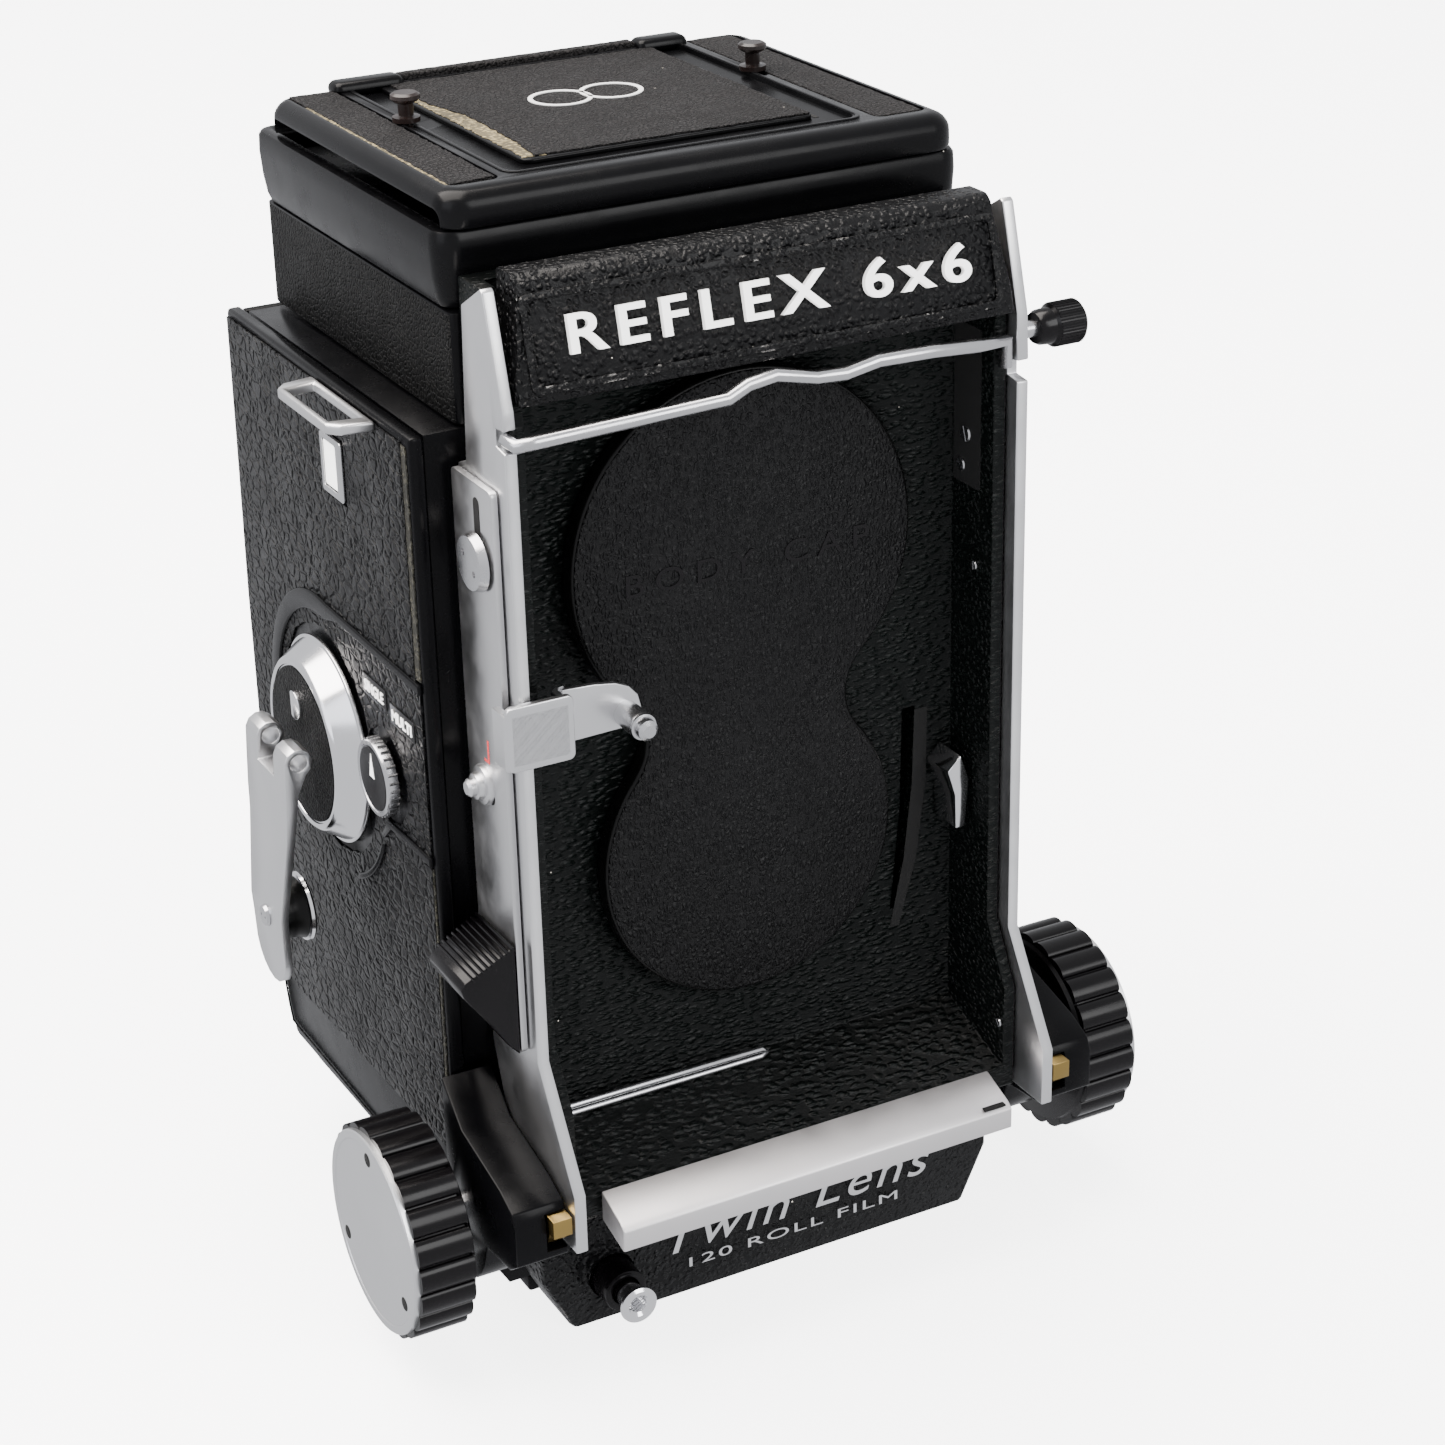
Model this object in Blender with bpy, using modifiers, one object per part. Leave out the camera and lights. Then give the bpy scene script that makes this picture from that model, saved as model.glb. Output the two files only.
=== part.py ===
"""Twin lens reflex camera body, modelled piece by piece.

Distances are millimetres in a working frame: X to the viewer's right with the lens side
facing the viewer, Y from the lens side to the film door, Z up from the base. One helper
turns them into metres, with the origin under the middle of the base plate.
"""
import math

import bmesh
import bpy
from mathutils import Matrix, Vector

# ---------------------------------------------------------------- driving dimensions (mm)
MM = 0.001
ORIGIN_Y = 45.0              # depth of the row's origin behind the plates' front edges

BODY_HALF = 45.8             # outer face of the side covers
COVER_THICK = 2.2
CAST_HALF = BODY_HALF - COVER_THICK - 0.3
BODY_FRONT = 17.0
BODY_BACK = 84.0
BODY_TOP = 137.0
TAPER_Z = 15.5               # the sides turn inwards below this height
BASE_HALF = 35.8

PLATE_OUT = 39.4             # silver side plates of the front standard
PLATE_THICK = 1.8
PLATE_IN = PLATE_OUT - PLATE_THICK
PANEL_Y = 13.0               # front face of the lens panel
FRAME_BACK = 16.5
FOOT_Y = -9.9
STANDARD_BOTTOM = 24.1

REAR_R = 26                  # radius of the body's rounded lower back
SPOOL_HALF = 31              # half a film spool's width

PIN_X, PIN_Z, PIN_R = -22.6, 97.9, 1.9      # the release bracket's pin
BUTTON = (-27.0, 13.0, 7.2)                 # inner end of the lower release's sleeve
SELECTOR_Y, SELECTOR_Z = 31.6, 82.5
LOCK_Y, LOCK_Z = 5.2, 139.6
STUD_X, STUD_Y = 27.2, 54.8
LEVER_PIVOT = (-8.0, 9.0, 70.0)

FOCUS_Y, FOCUS_Z = 13.5, 21.4
MODULE = 1.0
PINION_TEETH = 10
PINION_R = MODULE * PINION_TEETH / 2
ADDENDUM, DEDENDUM = 0.85, 1.05
PRESSURE = math.radians(25)
BACKLASH = 0.16
RACK_IN, RACK_OUT = 39.75, 42.6
KNOB_R, KNOB_INNER, KNOB_OUTER = 16.0, 50.0, 60.5

CRANK_Y, CRANK_Z = 53.1, 79.7
GEAR_MODULE = 1.5
CRANK_TEETH, TAKE_TEETH = 31, 14
GEAR_LINE = math.radians(58.8)
GEAR_REACH = GEAR_MODULE * (CRANK_TEETH + TAKE_TEETH) / 2
TAKE_Y = CRANK_Y + GEAR_REACH * math.cos(GEAR_LINE)
TAKE_Z = CRANK_Z + GEAR_REACH * math.sin(GEAR_LINE)
SUPPLY_Y, SUPPLY_Z = 67.0, 19.8
SPOOL_R = 12.5
GATE_LOW, GATE_HIGH = 38.0, 94.0
ARM_PIN_X, ARM_PIN_Z = -54.2, 80.6
HANDLE_Y, HANDLE_Z = 53.4, 53.5

HOOD_HALF = 39.5
HOOD_FRONT, HOOD_BACK = 17.2, 80.8
HOOD_LOW, HOOD_TOP, LID_TOP = 152.6, 162.9, 168.0
LID_HINGE_Y, LID_HINGE_Z = 16.9, 163.1
WING_X, WING_Z = 34.6, 160.4
REAR_WING_Y, REAR_WING_Z = 77.6, 158.0
WING_W = 23.0
MAG_Y, MAG_Z = 75.0, 165.3

DOOR_Y, DOOR_Z = 58.0, 4.0
WIRE_R = 1.0
WIRE_HINGE_X, WIRE_HINGE_Y = 36.2, 0.9

# finish name: (colour, metallic, roughness)
FINISHES = {
    "black_enamel": ((0.018, 0.018, 0.022), 0.0, 0.28),
    "black_anodised": ((0.015, 0.015, 0.017), 0.4, 0.35),
    "leatherette": ((0.03, 0.03, 0.03), 0.0, 0.7),
    "satin_aluminium": ((0.72, 0.72, 0.73), 1.0, 0.3),
    "chrome": ((0.85, 0.85, 0.87), 1.0, 0.08),
    "steel": ((0.6, 0.6, 0.62), 1.0, 0.3),
    "brass": ((0.72, 0.52, 0.22), 1.0, 0.3),
    "black_cloth": ((0.02, 0.02, 0.02), 0.0, 0.9),
    "clear_glass": ((0.85, 0.9, 0.9), 0.0, 0.05),
    "mirror_glass": ((0.9, 0.9, 0.92), 1.0, 0.02),
    "black_plastic": ((0.02, 0.02, 0.02), 0.0, 0.5),
}


# ---------------------------------------------------------------- helpers
def clear_scene():
    for obj in list(bpy.data.objects):
        bpy.data.objects.remove(obj, do_unlink=True)


def new_collection(name):
    made = bpy.data.collections.new(name)
    bpy.context.scene.collection.children.link(made)
    return made


def world(point):
    """A working-frame point in millimetres as a world point in metres."""
    return Vector((point[0] * MM, (point[1] - ORIGIN_Y) * MM, point[2] * MM))


def material_for(name, finish):
    colour, metallic, roughness = FINISHES[finish]
    made = bpy.data.materials.new(name)
    made.use_nodes = True
    shader = made.node_tree.nodes["Principled BSDF"]
    shader.inputs["Base Color"].default_value = (*colour, 1.0)
    shader.inputs["Metallic"].default_value = metallic
    shader.inputs["Roughness"].default_value = roughness
    made.diffuse_color = (*colour, 1.0)
    return made


def add_object(name, mesh, finish=None):
    """Link a mesh as a named part, or as a cutter when it has no finish."""
    obj = bpy.data.objects.new(name, mesh)
    if finish is None:
        CUTTERS.objects.link(obj)
        obj.hide_render = True
        obj.display_type = "WIRE"
    else:
        PARTS.objects.link(obj)
        mesh.materials.append(material_for(name, finish))
    return obj


def soften(obj, width, segments=2, angle=35):
    """Round the sharp edges with a bevel of the given width in millimetres."""
    if width <= 0:
        return obj
    bevel = obj.modifiers.new("edge", "BEVEL")
    bevel.width = width * MM
    bevel.segments = segments
    bevel.limit_method = "ANGLE"
    bevel.angle_limit = math.radians(angle)
    bevel.use_clamp_overlap = True
    return obj


def boolean(target, other, operation="DIFFERENCE"):
    cut = target.modifiers.new("cut", "BOOLEAN")
    cut.operation = operation
    cut.solver = "EXACT"
    cut.object = other
    return target


def block(name, low, high, finish=None, bevel=0.0, segments=2):
    """A box between two corners, with its origin at its centre."""
    size = [(high[i] - low[i]) * MM for i in range(3)]
    build = bmesh.new()
    bmesh.ops.create_cube(build, size=1.0)
    bmesh.ops.scale(build, vec=size, verts=build.verts)
    mesh = bpy.data.meshes.new(name)
    build.to_mesh(mesh)
    build.free()
    obj = add_object(name, mesh, finish)
    obj.location = world([(low[i] + high[i]) / 2 for i in range(3)])
    return soften(obj, bevel, segments)


def flat_outline(name, outline, thickness, holes=()):
    """A filled 2D curve, as a closed mesh centred on its own plane."""
    curve = bpy.data.curves.new(name, "CURVE")
    curve.dimensions = "2D"
    curve.fill_mode = "BOTH"
    curve.extrude = thickness * MM / 2
    for loop in (outline, *holes):
        spline = curve.splines.new("POLY")
        spline.points.add(len(loop) - 1)
        spline.use_cyclic_u = True
        for point, (u, v) in zip(spline.points, loop):
            point.co = (u * MM, v * MM, 0.0, 1.0)
    scratch = bpy.data.objects.new(name, curve)
    bpy.context.scene.collection.objects.link(scratch)
    bpy.context.view_layer.update()
    evaluated = scratch.evaluated_get(bpy.context.evaluated_depsgraph_get())
    mesh = bpy.data.meshes.new_from_object(evaluated)
    bpy.data.objects.remove(scratch, do_unlink=True)
    weld(mesh)
    return mesh


def weld(mesh):
    build = bmesh.new()
    build.from_mesh(mesh)
    bmesh.ops.remove_doubles(build, verts=build.verts, dist=0.000002)
    bmesh.ops.recalc_face_normals(build, faces=build.faces)
    build.to_mesh(mesh)
    build.free()


AXES = {
    "X": Matrix(((0, 0, 1, 0), (1, 0, 0, 0), (0, 1, 0, 0), (0, 0, 0, 1))),
    "Y": Matrix(((1, 0, 0, 0), (0, 0, -1, 0), (0, 1, 0, 0), (0, 0, 0, 1))),
    "Z": Matrix.Identity(4),
}


def slab(name, outline, axis, start, stop, finish=None, bevel=0.0, pivot=None, holes=()):
    """An outline given in the plane across an axis, extruded between two places on it."""
    mesh = flat_outline(name, outline, abs(stop - start), holes)
    middle = {"X": ((start + stop) / 2, 0, 0), "Y": (0, (start + stop) / 2, 0),
              "Z": (0, 0, (start + stop) / 2)}[axis]
    shift = Vector([value * MM for value in middle])
    mesh.transform(Matrix.Translation(shift) @ AXES[axis])
    obj = add_object(name, mesh, finish)
    obj.location = world((0, 0, 0))
    if pivot is not None:
        move_origin(obj, pivot)
    return soften(obj, bevel)


def move_origin(obj, point):
    """Put an unturned object's origin on a point, with its shape left in place."""
    target = world(point)
    obj.data.transform(Matrix.Translation(obj.location - target))
    obj.location = target


def turned(name, profile, axis, centre, finish=None, steps=32, bevel=0.0):
    """A profile of (radius, height) points turned about an axis through a centre.

    The profile runs from the high end down the outside; one that doesn't reach the axis
    is closed into a ring.
    """
    mesh = bpy.data.meshes.new(name)
    ring = profile[0][0] > 0
    count = len(profile)
    edges = [(i, i + 1) for i in range(count - 1)]
    if ring:
        edges.append((count - 1, 0))
    mesh.from_pydata([(radius * MM, 0, height * MM) for radius, height in profile], edges, [])
    obj = add_object(name, mesh, finish)
    screw = obj.modifiers.new("turn", "SCREW")
    screw.steps = screw.render_steps = steps
    screw.use_merge_vertices = True
    screw.merge_threshold = 0.000005
    screw.use_normal_calculate = False
    obj.location = world(centre)
    turns = {"X": (0, math.pi / 2, 0), "-X": (0, -math.pi / 2, 0), "Y": (-math.pi / 2, 0, 0),
             "-Y": (math.pi / 2, 0, 0), "Z": (0, 0, 0), "-Z": (math.pi, 0, 0)}
    obj.rotation_euler = turns[axis]
    return soften(obj, bevel)


def rod(name, axis, centre, radius, start, stop, finish=None, steps=24):
    """A plain cylinder from start to stop along an axis, measured from its centre point."""
    return turned(name, [(0, stop), (radius, stop), (radius, start), (0, start)],
                  axis, centre, finish, steps)


def wire(name, points, radius, finish, pivot):
    """A bent wire through the given points."""
    curve = bpy.data.curves.new(name, "CURVE")
    curve.dimensions = "3D"
    curve.bevel_depth = radius * MM
    curve.bevel_resolution = 2
    curve.use_fill_caps = True
    spline = curve.splines.new("POLY")
    spline.points.add(len(points) - 1)
    origin = world(pivot)
    for point, place in zip(spline.points, points):
        point.co = (*(world(place) - origin), 1.0)
    scratch = bpy.data.objects.new("bent_wire", curve)
    scratch.location = origin
    bpy.context.scene.collection.objects.link(scratch)
    bpy.context.view_layer.update()
    evaluated = scratch.evaluated_get(bpy.context.evaluated_depsgraph_get())
    mesh = bpy.data.meshes.new_from_object(evaluated)
    weld(mesh)
    obj = add_object(name, mesh, finish)
    obj.matrix_world = scratch.matrix_world
    bpy.data.objects.remove(scratch, do_unlink=True)
    return obj


def arc(centre, radius, start, stop, count):
    """Points on an arc, angles in degrees."""
    angles = [math.radians(start + (stop - start) * i / (count - 1)) for i in range(count)]
    return [(centre[0] + radius * math.cos(a), centre[1] + radius * math.sin(a)) for a in angles]


def rounded_rect(low, high, radius, count=4):
    """A rectangle outline with round corners."""
    corners = [((high[0] - radius, high[1] - radius), 0), ((low[0] + radius, high[1] - radius), 90),
               ((low[0] + radius, low[1] + radius), 180), ((high[0] - radius, low[1] + radius), 270)]
    points = []
    for centre, first in corners:
        points += arc(centre, radius, first, first + 90, count)
    return points


def involute(angle):
    return math.tan(angle) - angle


def gear_outline(teeth, centre, phase, module=MODULE):
    """A spur gear's outline with one tooth pointing along phase (radians)."""
    pitch = module * teeth / 2
    base = pitch * math.cos(PRESSURE)
    tip, root = pitch + ADDENDUM * module, pitch - DEDENDUM * module
    half = math.pi / (2 * teeth) - BACKLASH / (2 * pitch) + involute(PRESSURE)
    start = max(base, root)
    radii = [start + (tip - start) * i / 2 for i in range(3)]
    flank = [(r, half - involute(math.acos(min(1.0, base / r)))) for r in radii]
    if root < base:
        flank.insert(0, (root, flank[0][1]))
    points = []
    for tooth in range(teeth):
        middle = phase + 2 * math.pi * tooth / teeth
        side = [(r, middle - a) for r, a in flank] + [(r, middle + a) for r, a in reversed(flank)]
        points += [(centre[0] + r * math.cos(a), centre[1] + r * math.sin(a)) for r, a in side]
    return points


def rack_outline(front, back, pitch_line, top):
    """A rack with its teeth facing down and a space over the pinion's axis."""
    pitch = math.pi * MODULE
    slope = math.tan(PRESSURE)
    half = pitch / 4 - BACKLASH / 2
    points = [(front, top), (front, pitch_line + DEDENDUM)]
    first = math.ceil((front - FOCUS_Y) / pitch)
    last = math.floor((back - FOCUS_Y) / pitch)
    for index in range(first, last):
        middle = FOCUS_Y + (index + 0.5) * pitch
        wide, narrow = half + DEDENDUM * slope, half - ADDENDUM * slope
        points += [(middle - wide, pitch_line + DEDENDUM), (middle - narrow, pitch_line - ADDENDUM),
                   (middle + narrow, pitch_line - ADDENDUM), (middle + wide, pitch_line + DEDENDUM)]
    return points + [(back, pitch_line + DEDENDUM), (back, top)]


def mirrored(points):
    return [(-u, v) for u, v in reversed(points)]


# ---------------------------------------------------------------- the body
def taper_sides(target):
    """Cut the corners where the lower sides turn inwards to the base."""
    for side in (-1, 1):
        outline = [(side * BODY_HALF, TAPER_Z), (side * (BASE_HALF + 0.2), -1), (side * 60, -1),
                   (side * 60, TAPER_Z)]
        boolean(target, slab(f"taper_{target.name}_{side}", outline, "Y", -5, 95))


def rear_profile(inset):
    """The body's side outline, from the top back round the bottom corner to the base."""
    back = [(BODY_BACK - 0.4, BODY_TOP), (BODY_BACK + 0.4, 118), (BODY_BACK + 1.6, 90),
            (BODY_BACK + 1.6, 62)]
    corner = arc((BODY_BACK + 1.2 - REAR_R, 28.5), REAR_R, 0, -78, 9)
    return [(y - inset, z) for y, z in back] + [
        (y - inset * math.cos(math.radians(a)), z - inset * math.sin(math.radians(a)))
        for (y, z), a in zip(corner, [-9.75 * i for i in range(9)])]


def main_casting():
    front = [(BODY_FRONT, 3.0), (BODY_FRONT, BODY_TOP - 0.2)]
    outline = front + [(80.6, BODY_TOP - 0.2), (80.6, 25.0), (55.0, 25.0), (55.0, 3.0)]
    body = slab("main_casting", outline, "X", -CAST_HALF, CAST_HALF, "black_enamel")
    taper_sides(body)
    taking = [(20, 30), (50, 30), (61, 36), (61, GATE_HIGH + 0.5), (39, GATE_HIGH + 0.5), (24, 79.5),
              (20, 79.5)]
    boolean(body, slab("taking_tunnel", taking, "X", -31, 31))
    viewing = [(20, 82), (23.5, 82), (71.5, 130), (20, 130)]
    boolean(body, slab("viewing_tunnel", viewing, "X", -31, 31))
    boolean(body, block("bellows_room", (-33, 10, 27.3), (33, 25.2, 131.7)))
    boolean(body, block("screen_well", (-29, 22.2, 129), (29, 70.6, 140)))
    boolean(body, block("film_aperture", (-28.2, 58, GATE_LOW), (28.2, 70, GATE_HIGH)))
    boolean(body, block("film_track", (-32.2, 64, 24), (32.2, 90, 97)))
    for name, at_y, at_z in (("take_up", TAKE_Y, TAKE_Z), ("supply", SUPPLY_Y, SUPPLY_Z)):
        room = arc((at_y, at_z), SPOOL_R + 0.6, 90, 270, 13)
        room += [(92, at_z - SPOOL_R - 0.6), (92, at_z + SPOOL_R + 0.6)]
        boolean(body, slab(f"{name}_room", room, "X", -31.8, 31.8))
    for side in (-1, 1):
        boolean(body, block(f"rack_groove_{side}", (min(side * 38.6, side * 46), 10, 24.9),
                            (max(side * 38.6, side * 46), 78, 31.2)))
        boolean(body, block(f"pinion_pocket_{side}", (min(side * 38.6, side * 46), 10, 14.6),
                            (max(side * 38.6, side * 46), 20.4, 26)))
    boolean(body, rod("crank_gear_room", "X", (0, CRANK_Y, CRANK_Z), 25.2, -46, -39.8, steps=40))
    boolean(body, rod("take_up_gear_room", "X", (0, TAKE_Y, TAKE_Z), 12.6, -46, -39.7))
    boolean(body, rod("take_up_bore", "X", (0, TAKE_Y, TAKE_Z), 3.1, -50, 50))


def side_cover(name, side):
    """A pressed cover over one side, with its corner rounded at the lower back."""
    outline = [(BODY_FRONT - 1.0, TAPER_Z + 0.5), (BODY_FRONT - 1.0, BODY_TOP)]
    outline += rear_profile(0.3)
    lowest = TAPER_Z - 0.2
    clipped = [(y, max(z, lowest)) for y, z in outline]
    clipped = [clipped[0]] + [p for i, p in enumerate(clipped[1:], 1)
                              if not (p[1] <= lowest and clipped[i - 1][1] <= lowest)]
    inner, outer = side * (BODY_HALF - COVER_THICK), side * BODY_HALF
    return slab(name, clipped, "X", inner, outer, "leatherette", bevel=0.5)


def covers():
    left = side_cover("crank_side_cover", -1)
    boolean(left, rod("crank_bore", "X", (0, CRANK_Y, CRANK_Z), 3.3, -50, -40))
    boolean(left, rod("selector_bore", "X", (0, SELECTOR_Y, SELECTOR_Z), 2.3, -50, -40))
    boolean(left, block("window_hole", (-50, 39.6, 120.6), (-43, 46.9, 129.2)))
    right = side_cover("plain_side_cover", 1)
    boolean(right, rod("upper_knob_bore", "X", (0, TAKE_Y, TAKE_Z), 3.0, 40, 50))
    boolean(right, rod("lower_knob_bore", "X", (0, SUPPLY_Y, SUPPLY_Z), 3.0, 40, 50))
    block("counter_window", (-46.1, 39.9, 120.9), (-43.9, 46.6, 128.9), "clear_glass", 0.3)


def base():
    """The base with its tripod bush, and the low housing under the lens ledge."""
    plate = slab("base_plate", [(-BASE_HALF + 0.6, 17.2), (BASE_HALF - 0.6, 17.2), (BASE_HALF - 0.6, 54.6),
                                (-BASE_HALF + 0.6, 54.6)], "Z", 0.0, 2.7, "black_enamel", bevel=0.4)
    boolean(plate, rod("bush_hole", "Z", (0, 28, 0), 8.0, -2, 5))
    turned("tripod_bush", [(3.2, 2.4), (7.7, 2.4), (7.7, 0.0), (3.2, 0.0)], "Z", (0, 28, 0), "brass")
    low = [(-33.6, 0), (33.6, 0), (37.9, 9.0), (37.9, 18.4), (-37.9, 18.4), (-37.9, 9.0)]
    housing = slab("front_base_housing", low, "Y", 5.4, 16.7, "black_enamel", bevel=0.8)
    boolean(housing, rod("button_bore", "-Y", (BUTTON[0], 0, BUTTON[2]), 3.6, -30, 0))


def tripod_and_release():
    turned("release_button_guide", [(2.2, 12.2), (3.3, 12.2), (3.3, 0.0), (2.2, 0.0)], "-Y",
           BUTTON, "black_anodised")
    button = [(0, 16.6), (2.4, 16.6), (2.9, 16.3), (2.9, 15.9), (1.9, 15.9), (1.9, 4.2), (0, 4.2)]
    turned("release_button", button, "-Y", BUTTON, "chrome")


def film_parts():
    """Film gate, pressure plate, spools and their gears."""
    gate = block("film_gate", (-31.6, 64.3, 34.2), (31.6, 65.2, 96.3), "black_anodised")
    boolean(gate, block("gate_aperture", (-28, 60, GATE_LOW), (28, 70, GATE_HIGH)))
    flange = SPOOL_HALF - 1
    spool = [(0, SPOOL_HALF), (SPOOL_R, SPOOL_HALF), (SPOOL_R, flange), (5.5, flange), (5.5, -flange),
             (SPOOL_R, -flange), (SPOOL_R, -SPOOL_HALF)]
    turned("supply_spool", spool + [(0, -SPOOL_HALF)], "X", (0, SUPPLY_Y, SUPPLY_Z), "black_plastic",
           steps=24)
    driven = spool + [(2.2, -SPOOL_HALF), (2.2, -40.4), (0, -40.4)]
    turned("take_up_spool", driven, "X", (0, TAKE_Y, TAKE_Z), "black_plastic", steps=24)
    back_phase = GEAR_LINE + math.pi + math.pi / TAKE_TEETH
    gear = gear_outline(TAKE_TEETH, (TAKE_Y, TAKE_Z), back_phase, GEAR_MODULE)
    slab("take_up_gear", gear, "X", -42.8, -40.8, "brass", pivot=(0, TAKE_Y, TAKE_Z))


def mirror_and_screen():
    """The finder's mirror at 45 degrees and the ground glass above it."""
    length = 61.0
    glass = block("mirror", (-29, -length / 2, -0.8), (29, length / 2, 0.8), "mirror_glass")
    glass.location = world((0, 48.0, 108.0))
    glass.rotation_euler = (math.radians(45), 0, 0)
    outer = rounded_rect((-38.4, BODY_FRONT + 0.1), (38.4, BODY_BACK - 1.2), 1.2)
    inner = rounded_rect((-29, 22), (29, 76), 1.0)
    slab("finder_housing", outer, "Z", BODY_TOP + 0.1, HOOD_LOW - 0.3, "leatherette", holes=(inner,))
    block("focusing_screen", (-28.6, 22.4, 139.5), (28.6, 75.6, 141.0), "clear_glass")


def hood_base():
    outer = rounded_rect((-HOOD_HALF, HOOD_FRONT), (HOOD_HALF, HOOD_BACK + 3.0), 2.0)
    ring = slab("hood_base", outer, "Z", HOOD_LOW, HOOD_TOP, "black_enamel", bevel=1.2)
    boolean(ring, block("hood_well", (-36.2, 20.4, 154.2), (36.2, 80.0, 170)))
    boolean(ring, block("hood_window", (-29, 22, 150), (29, 76, 160)))


def strap_lugs():
    for name, side in (("strap_lug_left", -1), ("strap_lug_right", 1)):
        outer = [(side * 46.1, 26.6), (side * 50.6, 27.4), (side * 52.2, 29.2), (side * 52.2, 46.4),
                 (side * 50.6, 48.2), (side * 46.1, 49.0)]
        hole = [(side * 46.9, 29.4), (side * 51.2, 30.2), (side * 51.2, 45.4), (side * 46.9, 46.2)]
        slab(name, outer, "Z", 134.9, 136.4, "satin_aluminium", holes=(hole,))


def accessory_shoe():
    base_plate = block("accessory_shoe", (46.1, 34.0, 88.0), (50.2, 52.0, 106.5), "satin_aluminium")
    boolean(base_plate, block("shoe_slot", (47.4, 35.2, 80.0), (49.0, 50.8, 110.0)))
    boolean(base_plate, block("shoe_mouth", (48.5, 37.2, 80.0), (52.0, 48.8, 110.0)))


def focus_arm(name, side):
    """The bracket that carries the focusing shaft and covers the rack."""
    outline = [(15.6, 42.0), (9.5, 36.4), (-3.0, 33.4), (-7.0, 31.6), (-8.0, 29.6), (-8.0, 23.6),
               (-5.0, 21.4), (2.6, 20.6)] + arc((FOCUS_Y, FOCUS_Z), 10.6, 190, 275, 7) + [(15.6, 11.2)]
    arm = slab(name, outline, "X", side * (PLATE_OUT + 0.35), side * 47.6, "black_enamel", bevel=0.8)
    channel = [(-12, 24.6), (6.0, 24.6), (6.0, 14.2), (18, 14.2), (18, 30.5), (-12, 30.5)]
    boolean(arm, slab(f"{name}_channel", channel, "X", side * 39.0, side * 43.0))
    boolean(arm, rod(f"{name}_bore", "X", (0, FOCUS_Y, FOCUS_Z), 2.6, *sorted((side * 38, side * 52))))


# ---------------------------------------------------------------- the front standard
def plate_outline(notch):
    """The silver side plate's outline, with the wire's notch in its front edge."""
    return [(5.0, 159.0), (11.2, 155.4), (12.6, 134.0), (15.2, 133.0), (15.2, 46.0), (8.0, STANDARD_BOTTOM),
            (FOOT_Y, STANDARD_BOTTOM), (FOOT_Y, 33.2), (0.0, 49.6), (0.0, notch), (2.8, notch + 0.3),
            (2.8, notch + 2.7), (0.0, notch + 3.0), (0.4, 144.0), (4.4, 158.6)]


def standard():
    """The front standard: plates, lens panel, ledge, nameplate housing and racks."""
    side_profile = [(FRAME_BACK, STANDARD_BOTTOM), (FRAME_BACK, 157.5), (9.5, 157.5), (9.5, 144.0),
                    (2.4, 144.0), (2.4, 50.4), (-2.6, 41.0), (-2.6, STANDARD_BOTTOM)]
    frame = slab("standard_frame", side_profile, "X", -PLATE_IN + 0.25, PLATE_IN - 0.25, "leatherette")
    chamber = [(-20, 27.6), (-2.6, 27.6), (PANEL_Y, 33.0), (PANEL_Y, 143.6), (-20, 143.6)]
    boolean(frame, slab("lens_room", chamber, "X", -35.4, 35.4))
    boolean(frame, block("ledge_seat", (-33, -12, 20), (33, -2.9, 29)))
    boolean(frame, block("name_seat", (-35.2, -1, 145), (35.2, 13.4, 160)))
    for name, centre_z in (("taking_hole", 70.0), ("viewing_hole", 113.0)):
        boolean(frame, rod(name, "Y", (0, 0, centre_z), 17.0 if centre_z < 100 else 14.0, 12, 18, steps=32))
    lever_slot = [(27.2, 82.5), (29.4, 82.5), (28.8, 66.0), (27.0, 50.0), (25.2, 50.0), (26.8, 66.0)]
    boolean(frame, slab("lever_slot", lever_slot, "Y", 12, 18))

    slab("side_plate_left", plate_outline(138.6), "X", -PLATE_OUT, -PLATE_IN, "satin_aluminium")
    slab("side_plate_right", plate_outline(134.3), "X", PLATE_IN, PLATE_OUT, "satin_aluminium")

    name_side = [(-0.3, 144.3), (3.5, 159.2), (4.6, 160.2), (9.2, 160.2), (9.2, 145.3), (8.0, 144.3)]
    nameplate = slab("nameplate_housing", name_side, "X", -37.0, 37.0, "black_enamel", bevel=0.5)
    for side in (-1, 1):
        corner = [(side * 37.4, 143), (side * 37.4, 162), (side * 35.2, 162), (side * 35.2, 157.8),
                  (side * 36.9, 147)]
        boolean(nameplate, slab(f"name_end_{side}", corner, "Y", -5, 15))

    ledge = [(-3.2, 28.4), (-9.2, 26.2), (-10.2, 25.4), (-10.2, 22.1), (-8.8, 22.1), (-3.2, 23.6)]
    slab("lens_ledge", ledge, "X", -32.2, 32.2, "satin_aluminium", bevel=0.25)

    pitch_line = FOCUS_Z + PINION_R
    for name, side in (("rack_left", -1), ("rack_right", 1)):
        slab(name, rack_outline(-9.6, 74.0, pitch_line, 30.2), "X", side * RACK_IN, side * RACK_OUT, "brass")


def cap_outline():
    """A figure of eight: two lobes joined by round waists."""
    upper, lower = (113.8, 26.5), (68.9, 23.2)
    waist, fillet = 16.1, 8.4
    centre_x = waist + fillet
    rise = math.sqrt((upper[1] + fillet) ** 2 - centre_x ** 2)
    middle = upper[0] - rise
    up_angle = math.degrees(math.atan2(middle - upper[0], centre_x))
    low_angle = math.degrees(math.atan2(middle - lower[0], centre_x))
    right = arc((0, upper[0]), upper[1], 90, up_angle, 12)
    right += arc((centre_x, middle), fillet, 180 + up_angle, 180 + low_angle, 8)[1:-1]
    right += arc((0, lower[0]), lower[1], low_angle, -90, 12)
    left = [(-x, z) for x, z in reversed(right[1:-1])]
    return right + left


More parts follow.
